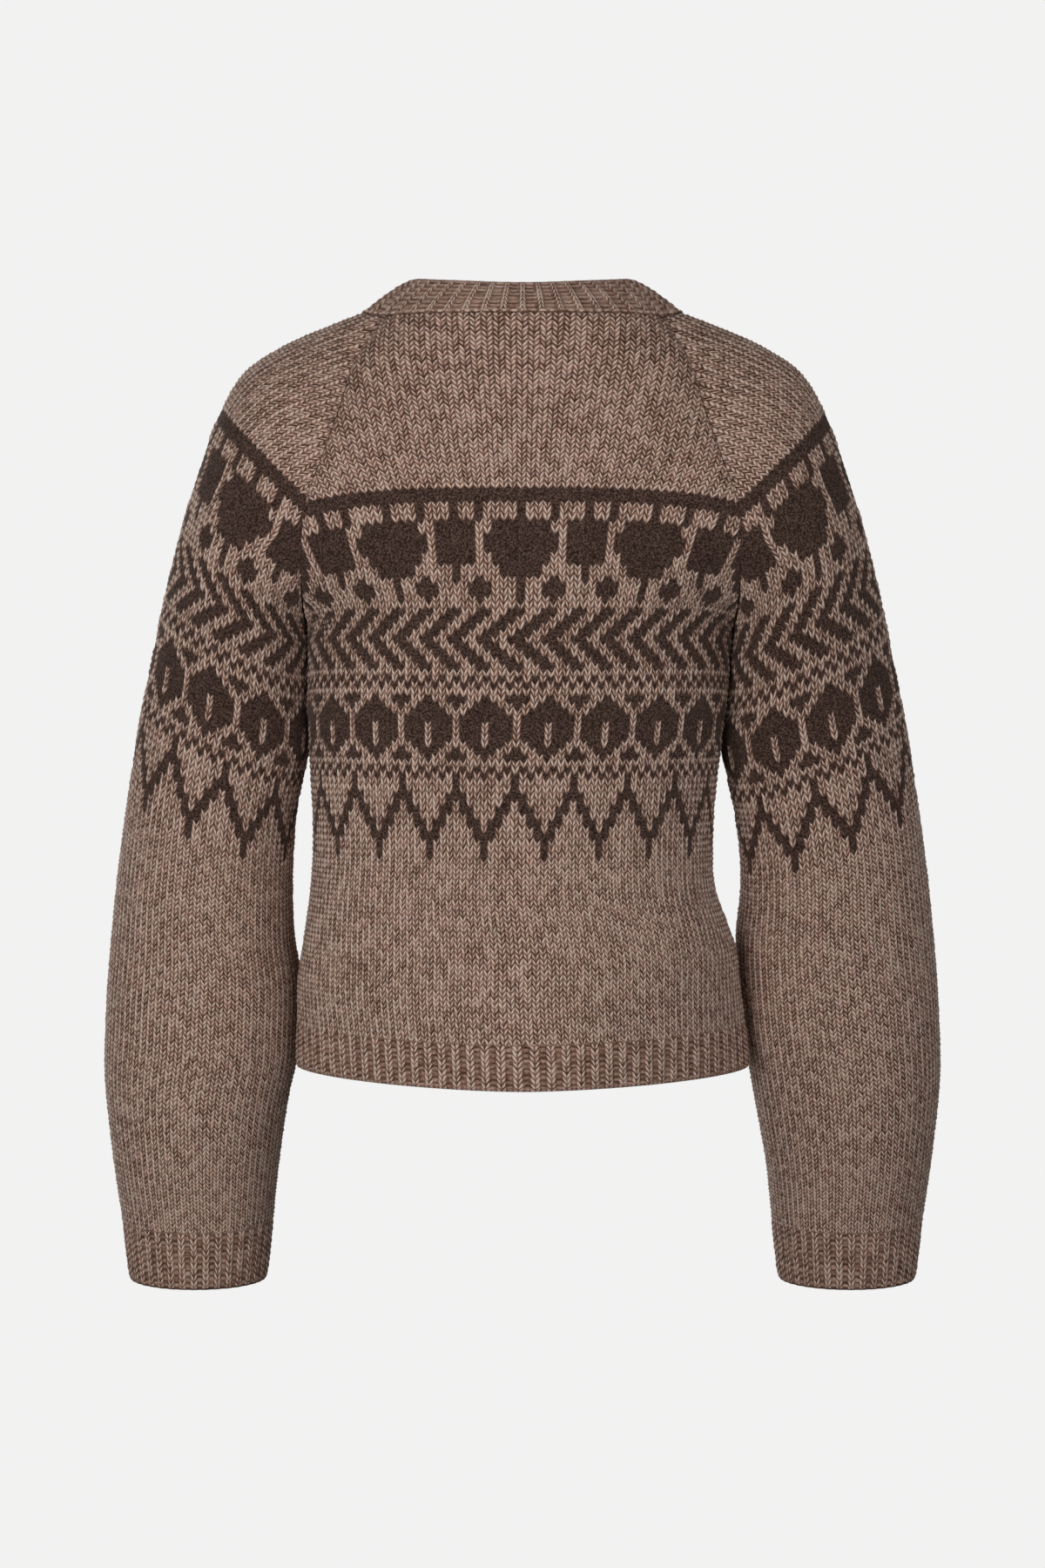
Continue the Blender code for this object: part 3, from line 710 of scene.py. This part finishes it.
woolLook = {
    "paintedShadeShare": 0.74,     # painted shade: how much of a leg's brightness comes from where on the leg a point lies, darker between legs and rows
    "legTone": 0.40,     # how much legs differ from each other
    "strandTone": 0.10,
    "flecks": 0.74,      # how strongly the fibres show
    "fuzz": 0.50,
    "level": -0.590,
    "lightStops": (
        (0.00, (0.040, 0.020, 0.014)), (0.30, (0.150, 0.078, 0.054)), (0.50, (0.300, 0.167, 0.123)),
        (0.70, (0.540, 0.348, 0.272)), (1.00, (0.900, 0.705, 0.590)),
    ),
    "darkStops": (
        (0.36, (0.024, 0.012, 0.008)), (0.50, (0.075, 0.042, 0.032)), (0.64, (0.180, 0.110, 0.088)),
    ),
    "edgeFuzz": 0.5,     # how ragged the edge between the two yarns is
    "edgeBlend": 0.12,
    "wobble": 0.5,       # in rows, how far a row of legs wanders
    "crownWidth": 0.38,  # from the side of a leg to where it is brightest, past the painted shade
    "endShadeKeeps": 0.25,     # what a leg's ends keep of their brightness under the painted shade
    "warmTint": (1.04, 0.985, 0.96),
    "coolTint": (0.96, 1.00, 1.02),
    "tintBlend": (0.3, 0.7),
    "fibreStretch": (2.6, 1.3, 1.0),
    "fibreNoise": (1.0, 2.0),  # scale and detail, as below
    "fuzzNoise": (750.0, 3.0),
    "strayNoise": (330.0, 2.0),
    "tintNoise": (260.0, 4.0),
    "rough": 0.9,
    "specular": 0.15,
    "sheen": 0.22,
    "sheenRough": 0.5,
    "sheenTint": (0.80, 0.66, 0.58),
    "grainFuzz": 0.7,
    "grainStrength": 0.6,
    "grainDepth": 0.0007,
}


# Painted shade on the legs: 1 on the crown of a leg, less between two legs and at its ends, where the hollows
# would lie in shade
def paintedLegShade(tree, look, legs, place):
    split = addNode(tree, "SeparateXYZ", {0: legs}).outputs
    stray = noiseNode(tree, place, *look["strayNoise"])
    wandering = mathNode(tree, "MULTIPLY_ADD", stray, look["wobble"], split["X"])
    fromSide = mathNode(tree, "PINGPONG", wandering, 0.5)
    fromEnd = mathNode(tree, "PINGPONG", split["Y"], 0.5)
    # darker towards the sides and ends of a leg: painted shade in the hollows
    sideShade = rangeNode(tree, fromSide, 0.0, look["crownWidth"])
    ends = rangeNode(tree, fromEnd, 0.0, look["crownWidth"], look["endShadeKeeps"], 1.0)
    return mathNode(tree, "MULTIPLY", sideShade, ends)


def yarnMaterial(look):
    material = bpy.data.materials.new("melangeWool")
    material.use_nodes = True
    tree = material.node_tree
    shader = tree.nodes["Principled BSDF"]
    shader.inputs["Roughness"].default_value = look["rough"]
    shader.inputs["Specular IOR Level"].default_value = look["specular"]
    shader.inputs["Sheen Weight"].default_value = look["sheen"]
    shader.inputs["Sheen Roughness"].default_value = look["sheenRough"]
    shader.inputs["Sheen Tint"].default_value = (*look["sheenTint"], 1.0)
    colour = addNode(tree, "Attribute", {}, attribute_name="yarn").outputs["Color"]
    yarn = addNode(tree, "SeparateColor", {0: colour}).outputs  # dark yarn, leg's tone, strand's tone
    legs = addNode(tree, "UVMap", {}, uv_map="legs").outputs[0]
    place = addNode(tree, "TexCoord", {}).outputs["Object"]
    stretched = addNode(tree, "Mapping", {0: legs, "Scale": look["fibreStretch"]}).outputs[0]
    fibre = noiseNode(tree, stretched, *look["fibreNoise"])
    fuzz = noiseNode(tree, place, *look["fuzzNoise"])
    # a leg's brightness: painted shade from its form, then its own tone, its strand's tone and the fibres in
    # it
    # form is painted shade: darker in the hollows between legs and rows and at the legs' ends
    form = paintedLegShade(tree, look, legs, place)
    shadeAndTone = mathNode(tree, "MULTIPLY_ADD", form, look["paintedShadeShare"], look["level"])
    sources = {"legTone": yarn["Green"], "strandTone": yarn["Blue"], "flecks": fibre, "fuzz": fuzz}
    for weight, source in sources.items():
        shadeAndTone = mathNode(tree, "MULTIPLY_ADD", source, look[weight], shadeAndTone)
    light = rampNode(tree, shadeAndTone, look["lightStops"])
    # the melange drifts between a warmer and a cooler brown
    drift = rangeNode(tree, noiseNode(tree, place, *look["tintNoise"]), *look["tintBlend"])
    tint = mixNode(tree, drift, (*look["warmTint"], 1.0), (*look["coolTint"], 1.0))
    tinted = mixNode(tree, 1.0, light, tint, "MULTIPLY")
    dark = rampNode(tree, fuzz, look["darkStops"])
    # the dark yarn's fibres reach over its edge here and there
    middle = 0.5 + look["edgeFuzz"] / 2
    edge = mathNode(tree, "MULTIPLY_ADD", fuzz, look["edgeFuzz"], yarn["Red"])
    showsDark = rangeNode(tree, edge, middle - look["edgeBlend"], middle + look["edgeBlend"])
    tree.links.new(mixNode(tree, showsDark, tinted, dark), shader.inputs["Base Color"])
    grain = mathNode(tree, "MULTIPLY_ADD", fuzz, look["grainFuzz"], fibre)
    bumpInputs = {"Strength": look["grainStrength"], "Distance": look["grainDepth"], "Height": grain}
    tree.links.new(addNode(tree, "Bump", bumpInputs).outputs[0], shader.inputs["Normal"])
    return material


wool = yarnMaterial(woolLook)
print("wool made")


# Where each panel starts, as a row for every place across

def backFirstRow(place):
    return np.zeros_like(place)


def frontFirstRow(place):
    rise = frontNeck["dropAtCentre"] - frontNeck["dropAtSeam"]
    return frontNeck["dropAtCentre"] - rise * np.abs(place) ** frontNeck["power"]


def sleeveFirstRow(place):
    return frontNeck["dropAtSeam"] * (place + 1) / 2


# flat is the width and length of the piece before it is joined, area its flat area where it isn't a rectangle
def finishPiece(obj, node):
    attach(obj, "root")
    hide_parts(node)


# Back and front. Shifts move rows of stitches down the form, or up where they are below 0

bodyPanels = {
    "backPanel": {
        "face": 1, "node": "back_panel", "firstRow": backFirstRow, "seed": 11,
        "flat": (0.414, 0.572), "area": 0.1804,
    },
    "frontPanel": {
        "face": -1, "node": "front_panel", "firstRow": frontFirstRow, "seed": 12,
        "flat": (0.435, 0.571), "area": 0.1744,
    },
}
bodyCounts = {0: 13.2, 6: 15.3, 14: 18, 22: 21.5, 28: 25.3, 36: 28.3, 43: 31.8, 50: 40, 121: 40}
bodyShifts = {0: 0, 30: 0, 36: -0.15, 42: -0.4, 48: -0.4, 56: 0.05, 70: 0.1, 84: 0.5, 100: 0.2, 114: 0}
bodyRows = stitchRowsTo(rowsOf["bodyEnd"], stitchRun["bodyPitch"])

for name, piece in bodyPanels.items():
    sheet = knitPanel({
        "key": ("body", piece["face"]), "counts": bodyCounts, "firstRow": piece["firstRow"], "rows": bodyRows,
        "span": (0, lastStitchRow(bodyRows)), "chart": bodyChart, "seed": piece["seed"],
        "extra": wideMiddle["bodyExtra"], "shifts": bodyShifts, "cutTop": True, "cutBottom": False,
    })
    obj = sheet.build(name, wool, piece["face"] > 0)
    finishPiece(obj, piece["node"])


# Sleeves, each in an upper and a lower piece that meet below the pattern

sleeves = {
    "sleeveLeft": {
        "side": 1, "node": "sleeve_left", "seed": 21, "shifts": {0: 0, 18: -0.8, 84: -0.7, 120: 0},
        "flatUpper": (0.390, 0.458), "areaUpper": 0.1172, "flatLower": (0.416, 0.314), "areaLower": 0.1130,
    },
    "sleeveRight": {
        "side": -1, "node": "sleeve_right", "seed": 31, "shifts": {28: 0, 43: 0.5, 64: 2.0, 84: 1.6, 120: 0},
        "flatUpper": (0.403, 0.458), "areaUpper": 0.1196, "flatLower": (0.420, 0.314), "areaLower": 0.1146,
    },
}
sleeveCounts = {0: 4.3, 6: 7.5, 14: 13.5, 22: 19.5, 28: 23, 36: 25.2, 43: 29.6, 50: 36.7, 156: 36.7}
sleeveRows = stitchRowsTo(rowsOf["sleeveEnd"], stitchRun["sleevePitch"])
splitRow = int(np.searchsorted(sleeveRows, stitchRun["patternEnd"]))

for name, piece in sleeves.items():
    for part in ("Upper", "Lower"):
        upper = part == "Upper"
        sheet = knitPanel({
            "key": ("sleeve", piece["side"]), "counts": sleeveCounts, "firstRow": sleeveFirstRow,
            "rows": sleeveRows, "span": (0, splitRow) if upper else (splitRow, lastStitchRow(sleeveRows)),
            "chart": sleeveChart if upper else None, "seed": piece["seed"], "extra": 0.0,
            "shifts": piece["shifts"], "cutTop": upper, "cutBottom": not upper,
        })
        obj = sheet.build(name + part, wool, piece["side"] > 0)
        finishPiece(obj, piece["node"])


# Ribs: each repeat is a raised wale of legs and a sunk gap of bars

ribShape = {
    "down": 2,
    "pitch": 0.85,      # form rows that a row of stitches takes
    "slant": 1.1,
    "raised": 0.0005,
    "sunk": 0.0009,
    "legHeight": 0.0009,
    "leastLeg": 0.75,   # share of the height that the flattest leg has
    "legSpread": 0.5,
    "barHeight": 0.0002,
    "leastBar": 0.6,
    "barSpread": 0.8,
    "valley": 0.25,     # what is left of a leg's height between two rows
    "barShadeLift": 0.12,    # how far the painted shade on the bars of a sunk gap is lifted, up to 0.5 where none is left
    "tuck": 0.0003,     # how far the first row is sunk behind the cloth that it is knitted on to
    "tuckRows": 0.8,    # how far up behind that cloth it reaches
    "untuckRows": 1.0,  # over which it comes out
    "growRows": 3.5,    # over which the ribs deepen from nothing
    "edgeRows": 0.9,    # over which they flatten towards the free edge
    "edgeShare": 0.35,
    "roundRows": 0.3,   # the last part of a row, which turns over the free edge
    "roundOut": 0.0004,
    "roundTurns": (0.9, math.pi / 2, 2.2),
    "lookBack": 0.5,    # rows, to find which way the cloth runs at its edge
    "insideShares": (1.0, 0.5, 0.0),
    "insideStride": 0.3,
    "legTones": (0.2, 0.8),  # the darkest, and how much more the lightest has
    "gapToneSpread": 0.4,
    "insideTone": 0.45,
    "strandTone": 0.5,
}
ribTones = {"spare": 50, "stride": 5000}
# Across a repeat: place in the wale (-1 to 1), place in the gap (0 to 1), place on a leg (1 between two),
# lift of the legs, lift of the bars, level of the cloth
ribProfile = (
    (-1.0, 0.00, 1.0, 0.10, 0.0, -0.35),
    (-0.5, 0.00, 0.5, 1.00, 0.0, 1.00),
    (0.0, 0.00, 0.0, 0.45, 0.0, 0.70),
    (0.5, 0.00, 0.5, 1.00, 0.0, 1.00),
    (1.0, 0.00, 1.0, 0.10, 0.0, -0.35),
    (1.0, 0.25, 1.0, 0.00, 0.8, -0.90),
    (1.0, 0.50, 1.0, 0.00, 1.0, -1.00),
    (1.0, 0.75, 1.0, 0.00, 0.8, -0.90),
)


# The profile repeated along the band. An open band runs from the middle of a wale to the middle of a gap
def ribColumns(rib):
    repeats, half, gap = rib["repeats"], rib["legShare"] / 2, 1 - rib["legShare"]
    columns = np.tile(np.array(ribProfile), (repeats, 1))
    along = np.repeat(np.arange(repeats), len(ribProfile)) + (columns[:, 0] * half + columns[:, 1] * gap)
    if rib["closed"]:
        return np.append(along, repeats - half), np.append(columns, columns[:1], axis=0)[:, 2:].T
    keep = (along >= 0) & (along <= repeats - 0.5)
    along = along[keep]
    return (along - along[0]) * repeats / (along[-1] - along[0]), columns[keep, 2:].T


# How far each point of a rib stands out of the form
def ribHeight(rib, step, fromFirst, fromLast, columns, tone):
    shape = ribShape
    _, legLift, barLift, level = columns
    valley = np.where(step % shape["down"] == 0, shape["valley"], 1.0)[:, None]
    bar = np.where((step + 1) % shape["down"] == 0, 0.0, 1.0)[:, None]
    height = rib["depth"] * np.where(level > 0, level * shape["raised"], level * shape["sunk"])[None, :]
    if rib["tucked"]:
        height = height * smoothstep(fromFirst / shape["growRows"])
    legHeight = shape["legHeight"] * (shape["leastLeg"] + shape["legSpread"] * tone)
    barHeight = shape["barHeight"] * (shape["leastBar"] + shape["barSpread"] * tone)
    height = height + legHeight * legLift[None, :] * valley + barHeight * barLift[None, :] * bar
    height = height * (1 - (1 - shape["edgeShare"]) * smoothstep(fromLast / shape["edgeRows"] + 1))
    if rib["tucked"]:
        below = shape["tuck"] + shape["legHeight"]
        height = height - below * (1 - smoothstep(fromFirst / shape["untuckRows"]))
    return height


# Lines of points round over the free edge, then up the plain inside
def ribInside(rib, placeAt, along, first, height):
    shape, rows = ribShape, rib["rows"]

    def lineAt(row):
        return placeAt(along, np.full(len(along), float(row)))

    edge, away = lineAt(rows)
    forward = unit(edge - lineAt(rows - shape["lookBack"])[0])
    thick = (wall + height)[:, None] / 2
    middle = edge - away * (wall - height[:, None]) / 2
    lines = []
    for turn in shape["roundTurns"]:
        lines.append(middle + away * thick * math.cos(turn) + forward * shape["roundOut"] * math.sin(turn))
    for share in shape["insideShares"]:
        point, away = lineAt(first + (rows - first) * share)
        lines.append(point - wall * away)
    return np.array(lines)


# A ribbed band. placeAt gives points and normals for repeats along it and rows away from its seam
def knitRib(rib, placeAt, seed):
    shape, down = ribShape, ribShape["down"]
    along, columns = ribColumns(rib)
    fromMiddle, _, barLift, _ = columns
    first = -shape["tuckRows"] if rib["tucked"] else 0.0
    last = rib["rows"] - shape["roundRows"]
    perRow = down / shape["pitch"]
    step = np.arange(math.floor(first * perRow) - down, int(last * perRow) + 2 * down)
    knitRow = (step[:, None] / down + shape["slant"] * (0.5 - fromMiddle[None, :])) * shape["pitch"]
    row = np.clip(knitRow, first, last)
    leg = np.floor(along * 2 + 0.5).astype(int)
    tone = legTones(np.random.default_rng(seed), np.floor(step / down).astype(int), leg, ribTones)
    height = ribHeight(rib, step, row - first, row - last, columns, tone)
    point, away = placeAt(np.broadcast_to(along[None, :], row.shape), row)
    outer = point + away * height[..., None]
    points = np.concatenate([outer, ribInside(rib, placeAt, along, first, height[-1]), outer[:1]])
    if rib["closed"]:
        points[:, -1] = points[:, 0]
    extra = np.arange(1, len(points) - len(outer) + 1)
    strip = np.concatenate([step / down, step[-1] / down + shape["insideStride"] * extra])
    strip = np.broadcast_to(strip[:, None], points.shape[:2])
    inGap = barLift > 0
    legTone = shape["legTones"][0] + shape["legTones"][1] * tone[:-1, :-1]
    gapTone = rib["gapTone"] + shape["gapToneSpread"] * tone[:-1, :-1]
    yarn = np.zeros((points.shape[0] - 1, points.shape[1] - 1, 3))
    yarn[:len(outer) - 1, :, 1] = np.where((inGap[:-1] | inGap[1:])[None, :], gapTone, legTone)
    yarn[len(outer) - 1:, :, 1] = shape["insideTone"]
    yarn[..., 2] = shape["strandTone"]
    # the bars of a gap sit near the dark end of the painted leg shade, so the sunk gap is painted in shade
    acrossLeg = np.where(inGap, 1 - shape["barShadeLift"], fromMiddle)
    cells = cornersOf(strip, np.broadcast_to(acrossLeg[None, :], strip.shape))
    cells[..., 1] += 2 * leg[None, :-1, None]
    if not rib["closed"]:
        ends = [np.broadcast_to(points[:, end].mean(axis=0), (len(points), 1, 3)) for end in (0, -1)]
        points = np.concatenate([ends[0], points, ends[1]], axis=1)
        yarn = np.pad(yarn, ((0, 0), (1, 1), (0, 0)), mode="edge")
        cells = np.pad(cells, ((0, 0), (1, 1), (0, 0), (0, 0)), mode="edge")
    sheet = Sheet()
    sheet.add(points, yarn, cells)
    return sheet


# Hems

hemKnit = {
    "repeats": 40, "rows": rowsOf["hemEnd"] - rowsOf["bodyEnd"],
    "legShare": 0.62, "depth": 0.75, "gapTone": 0.34, "closed": False, "tucked": True,
}
hems = {
    "backHemRib": {
        "face": 1, "node": "hem_rib_back", "seed": 41, "flat": (0.414, 0.032), "joinedTo": "backPanel",
    },
    "frontHemRib": {
        "face": -1, "node": "hem_rib_front", "seed": 42, "flat": (0.416, 0.032), "joinedTo": "frontPanel",
    },
}


# Two stitches of the body to a repeat, so that every wale runs on from a column of stitches
def belowBody(face, repeats):
    def placeAt(along, row):
        formRow, extra = rowsOf["bodyEnd"] + row, wideMiddle["bodyExtra"]
        across = widened(2 * along - repeats, formRow, extra) / widened(repeats, formRow, extra)
        return onForm(("body", face), formRow, np.clip(across, -1, 1))
    return placeAt


for name, piece in hems.items():
    sheet = knitRib(hemKnit, belowBody(piece["face"], hemKnit["repeats"]), piece["seed"])
    obj = sheet.build(name, wool, piece["face"] > 0)
    finishPiece(obj, piece["node"])


# Cuffs

cuffKnit = {
    "repeats": 36, "rows": rowsOf["cuffEnd"] - rowsOf["sleeveEnd"],
    "legShare": 0.62, "depth": 0.6, "gapTone": 0.44, "closed": True, "tucked": True, "flat": (0.327, 0.042),
}
cuffs = {
    "cuffLeftRib": {"side": 1, "node": "cuff_left", "seed": 51, "joinedTo": "sleeveLeftLower"},
    "cuffRightRib": {"side": -1, "node": "cuff_right", "seed": 52, "joinedTo": "sleeveRightLower"},
}


# Round the whole sleeve: past the front seam the count goes on from the back seam
def roundSleeve(side, repeats):
    def placeAt(along, row):
        return onForm(("sleeve", side), rowsOf["sleeveEnd"] + row, 2 * ((along / repeats) % 1.0) - 1)
    return placeAt


for name, piece in cuffs.items():
    sheet = knitRib(cuffKnit, roundSleeve(piece["side"], cuffKnit["repeats"]), piece["seed"])
    obj = sheet.build(name, wool, piece["side"] > 0)
    finishPiece(obj, piece["node"])


# Neckband

neckbandForm = {
    "repeats": (("back", 16), ("left", 5), ("front", 22), ("right", 5)),
    "inwardSide": 0.0315, "inwardBack": 0.0215, "inwardFront": 0.0160,
    "riseSide": 0.0262, "riseBack": 0.0208, "riseFront": 0.0272,
    "centreY": -0.012, "belly": 0.0015, "coneDepth": 0.1, "smoothing": 24, "seamGap": 0.0005,
    "seamPoints": 41, "alongStep": 0.4, "upStep": 0.05, "seed": 61, "flat": (0.58, 0.0364),
}
neckbandKnit = {
    "repeats": sum(count for _, count in neckbandForm["repeats"]), "rows": 7, "legShare": 0.36, "depth": 0.5,
    "gapTone": 0.60, "closed": True, "tucked": False,
}


# The neck seam with a point at each wale and gap, the belly and the free edge of the band above it
def neckbandLines(form):
    across = np.linspace(-1.0, 1.0, form["seamPoints"])
    runs = {
        "back": (("body", 1), across, backFirstRow(across)),
        "left": (("sleeve", 1), across, sleeveFirstRow(across)),
        "front": (("body", -1), -across, frontFirstRow(across)),
        "right": (("sleeve", -1), -across, sleeveFirstRow(-across)),
    }
    base, away = [], []
    for name, repeats in form["repeats"]:
        key, places, rows = runs[name]
        edge = read(surface[key], rows, places)
        base.append(evenlyAlong(edge, edge, 2 * repeats + 1)[:-1])
        away.append(evenlyAlong(edge, read(normal[key], rows, places), 2 * repeats + 1)[:-1])
    base, away = np.concatenate(base), unit(np.concatenate(away))
    upward = np.cross(unit(np.roll(base, -1, axis=0) - np.roll(base, 1, axis=0)), away)
    upward *= np.sign(upward[:, 2:3])
    bearing = unit((base - np.array([0.0, form["centreY"], 0.0]))[:, :2])
    sideways = bearing[:, 0:1] ** 2
    toBack = bearing[:, 1:2] > 0
    inward = np.where(toBack, form["inwardBack"], form["inwardFront"])
    inward = form["inwardSide"] * sideways + inward * (1 - sideways)
    rise = np.where(toBack, form["riseBack"], form["riseFront"])
    rise = form["riseSide"] * sideways + rise * (1 - sideways)
    bottom = base + upward * form["seamGap"]
    top = base + np.concatenate([-bearing * inward, rise], axis=1)
    for _ in range(form["smoothing"]):
        top = (np.roll(top, 1, axis=0) + 2 * top + np.roll(top, -1, axis=0)) / 4
    return bottom, 0.5 * (bottom + top) + form["belly"] * away, top


# A closed line read at any place, with a smooth curve between its points
def readLoop(line, place):
    cell = np.floor(place).astype(int)
    t = (place - cell)[..., None]
    before, start, end, after = (line[(cell + k) % len(line)] for k in (-1, 0, 1, 2))
    return 0.5 * (
        2 * start + (end - before) * t + (2 * before - 5 * start + 4 * end - after) * t**2
        + (3 * start - before - 3 * end + after) * t**3
    )


def aroundNeck(form, rows):
    bottom, belly, top = neckbandLines(form)

    def pointAt(place, share):
        low, middle, high = (readLoop(line, place) for line in (bottom, belly, top))
        v = share[..., None]
        return low * (1 - v) * (1 - 2 * v) + middle * 4 * v * (1 - v) + high * v * (2 * v - 1)

    def placeAt(along, row):
        place, share = along * 2, row / rows
        point = pointAt(place, share)
        around = pointAt(place + form["alongStep"], share) - pointAt(place - form["alongStep"], share)
        up = pointAt(place, share + form["upStep"]) - pointAt(place, share - form["upStep"])
        away = unit(np.cross(around, up))
        outward = point - np.array([0.0, form["centreY"], -form["coneDepth"]])
        return point, away * np.sign(np.median(np.sum(away * outward, axis=-1)))
    return placeAt


onNeckband = aroundNeck(neckbandForm, neckbandKnit["rows"])
neckband = knitRib(neckbandKnit, onNeckband, neckbandForm["seed"]).build("neckbandRib", wool, True)

# The chain of loops that links the neckband to the panels
neckChain = {
    "loops": 100, "row": 0.10, "out": 0.0007, "halfWidth": 0.00135, "halfHeight": 0.0011, "thin": 0.30,
    "parts": 6, "sides": 8, "tones": (0.5, 0.5), "strandTone": 0.6, "seed": 71,
}


def addNeckChain(look, placeAt, repeats):
    count = look["loops"] * look["parts"]
    share = np.arange(count + 1) / count
    point, away = placeAt(share * repeats, np.full(count + 1, look["row"]))
    around = unit(np.roll(point[:-1], -1, axis=0) - np.roll(point[:-1], 1, axis=0))
    around = np.concatenate([around, around[:1]])
    up = unit(np.cross(around, away))
    swell = look["thin"] + (1 - look["thin"]) * np.abs(np.sin(math.pi * look["loops"] * share))
    turn = np.linspace(0.0, 2 * math.pi, look["sides"] + 1)
    ring = -np.cos(turn)[None, :, None] * away[:, None] * look["halfHeight"]
    ring = ring + np.sin(turn)[None, :, None] * up[:, None] * look["halfWidth"]
    points = (point + look["out"] * away)[:, None] + ring * swell[:, None, None]
    points[-1], points[:, -1] = points[0], points[:, 0]
    strip = np.broadcast_to((turn / (2 * math.pi))[None, :], points.shape[:2])
    along = np.broadcast_to((share * look["loops"])[:, None], points.shape[:2])
    least, spread = look["tones"]
    tone = np.random.default_rng(look["seed"]).random(look["loops"])
    yarn = np.zeros((count, look["sides"], 3))
    yarn[..., 1] = (least + spread * np.repeat(tone, look["parts"]))[:, None]
    yarn[..., 2] = look["strandTone"]
    sheet = Sheet()
    sheet.add(points, yarn, cornersOf(strip, along))
    return sheet.build("neckChain", wool, False)


chain = addNeckChain(neckChain, onNeckband, neckbandKnit["repeats"])
finishPiece(chain, "neckband")
finishPiece(neckband, "neckband")
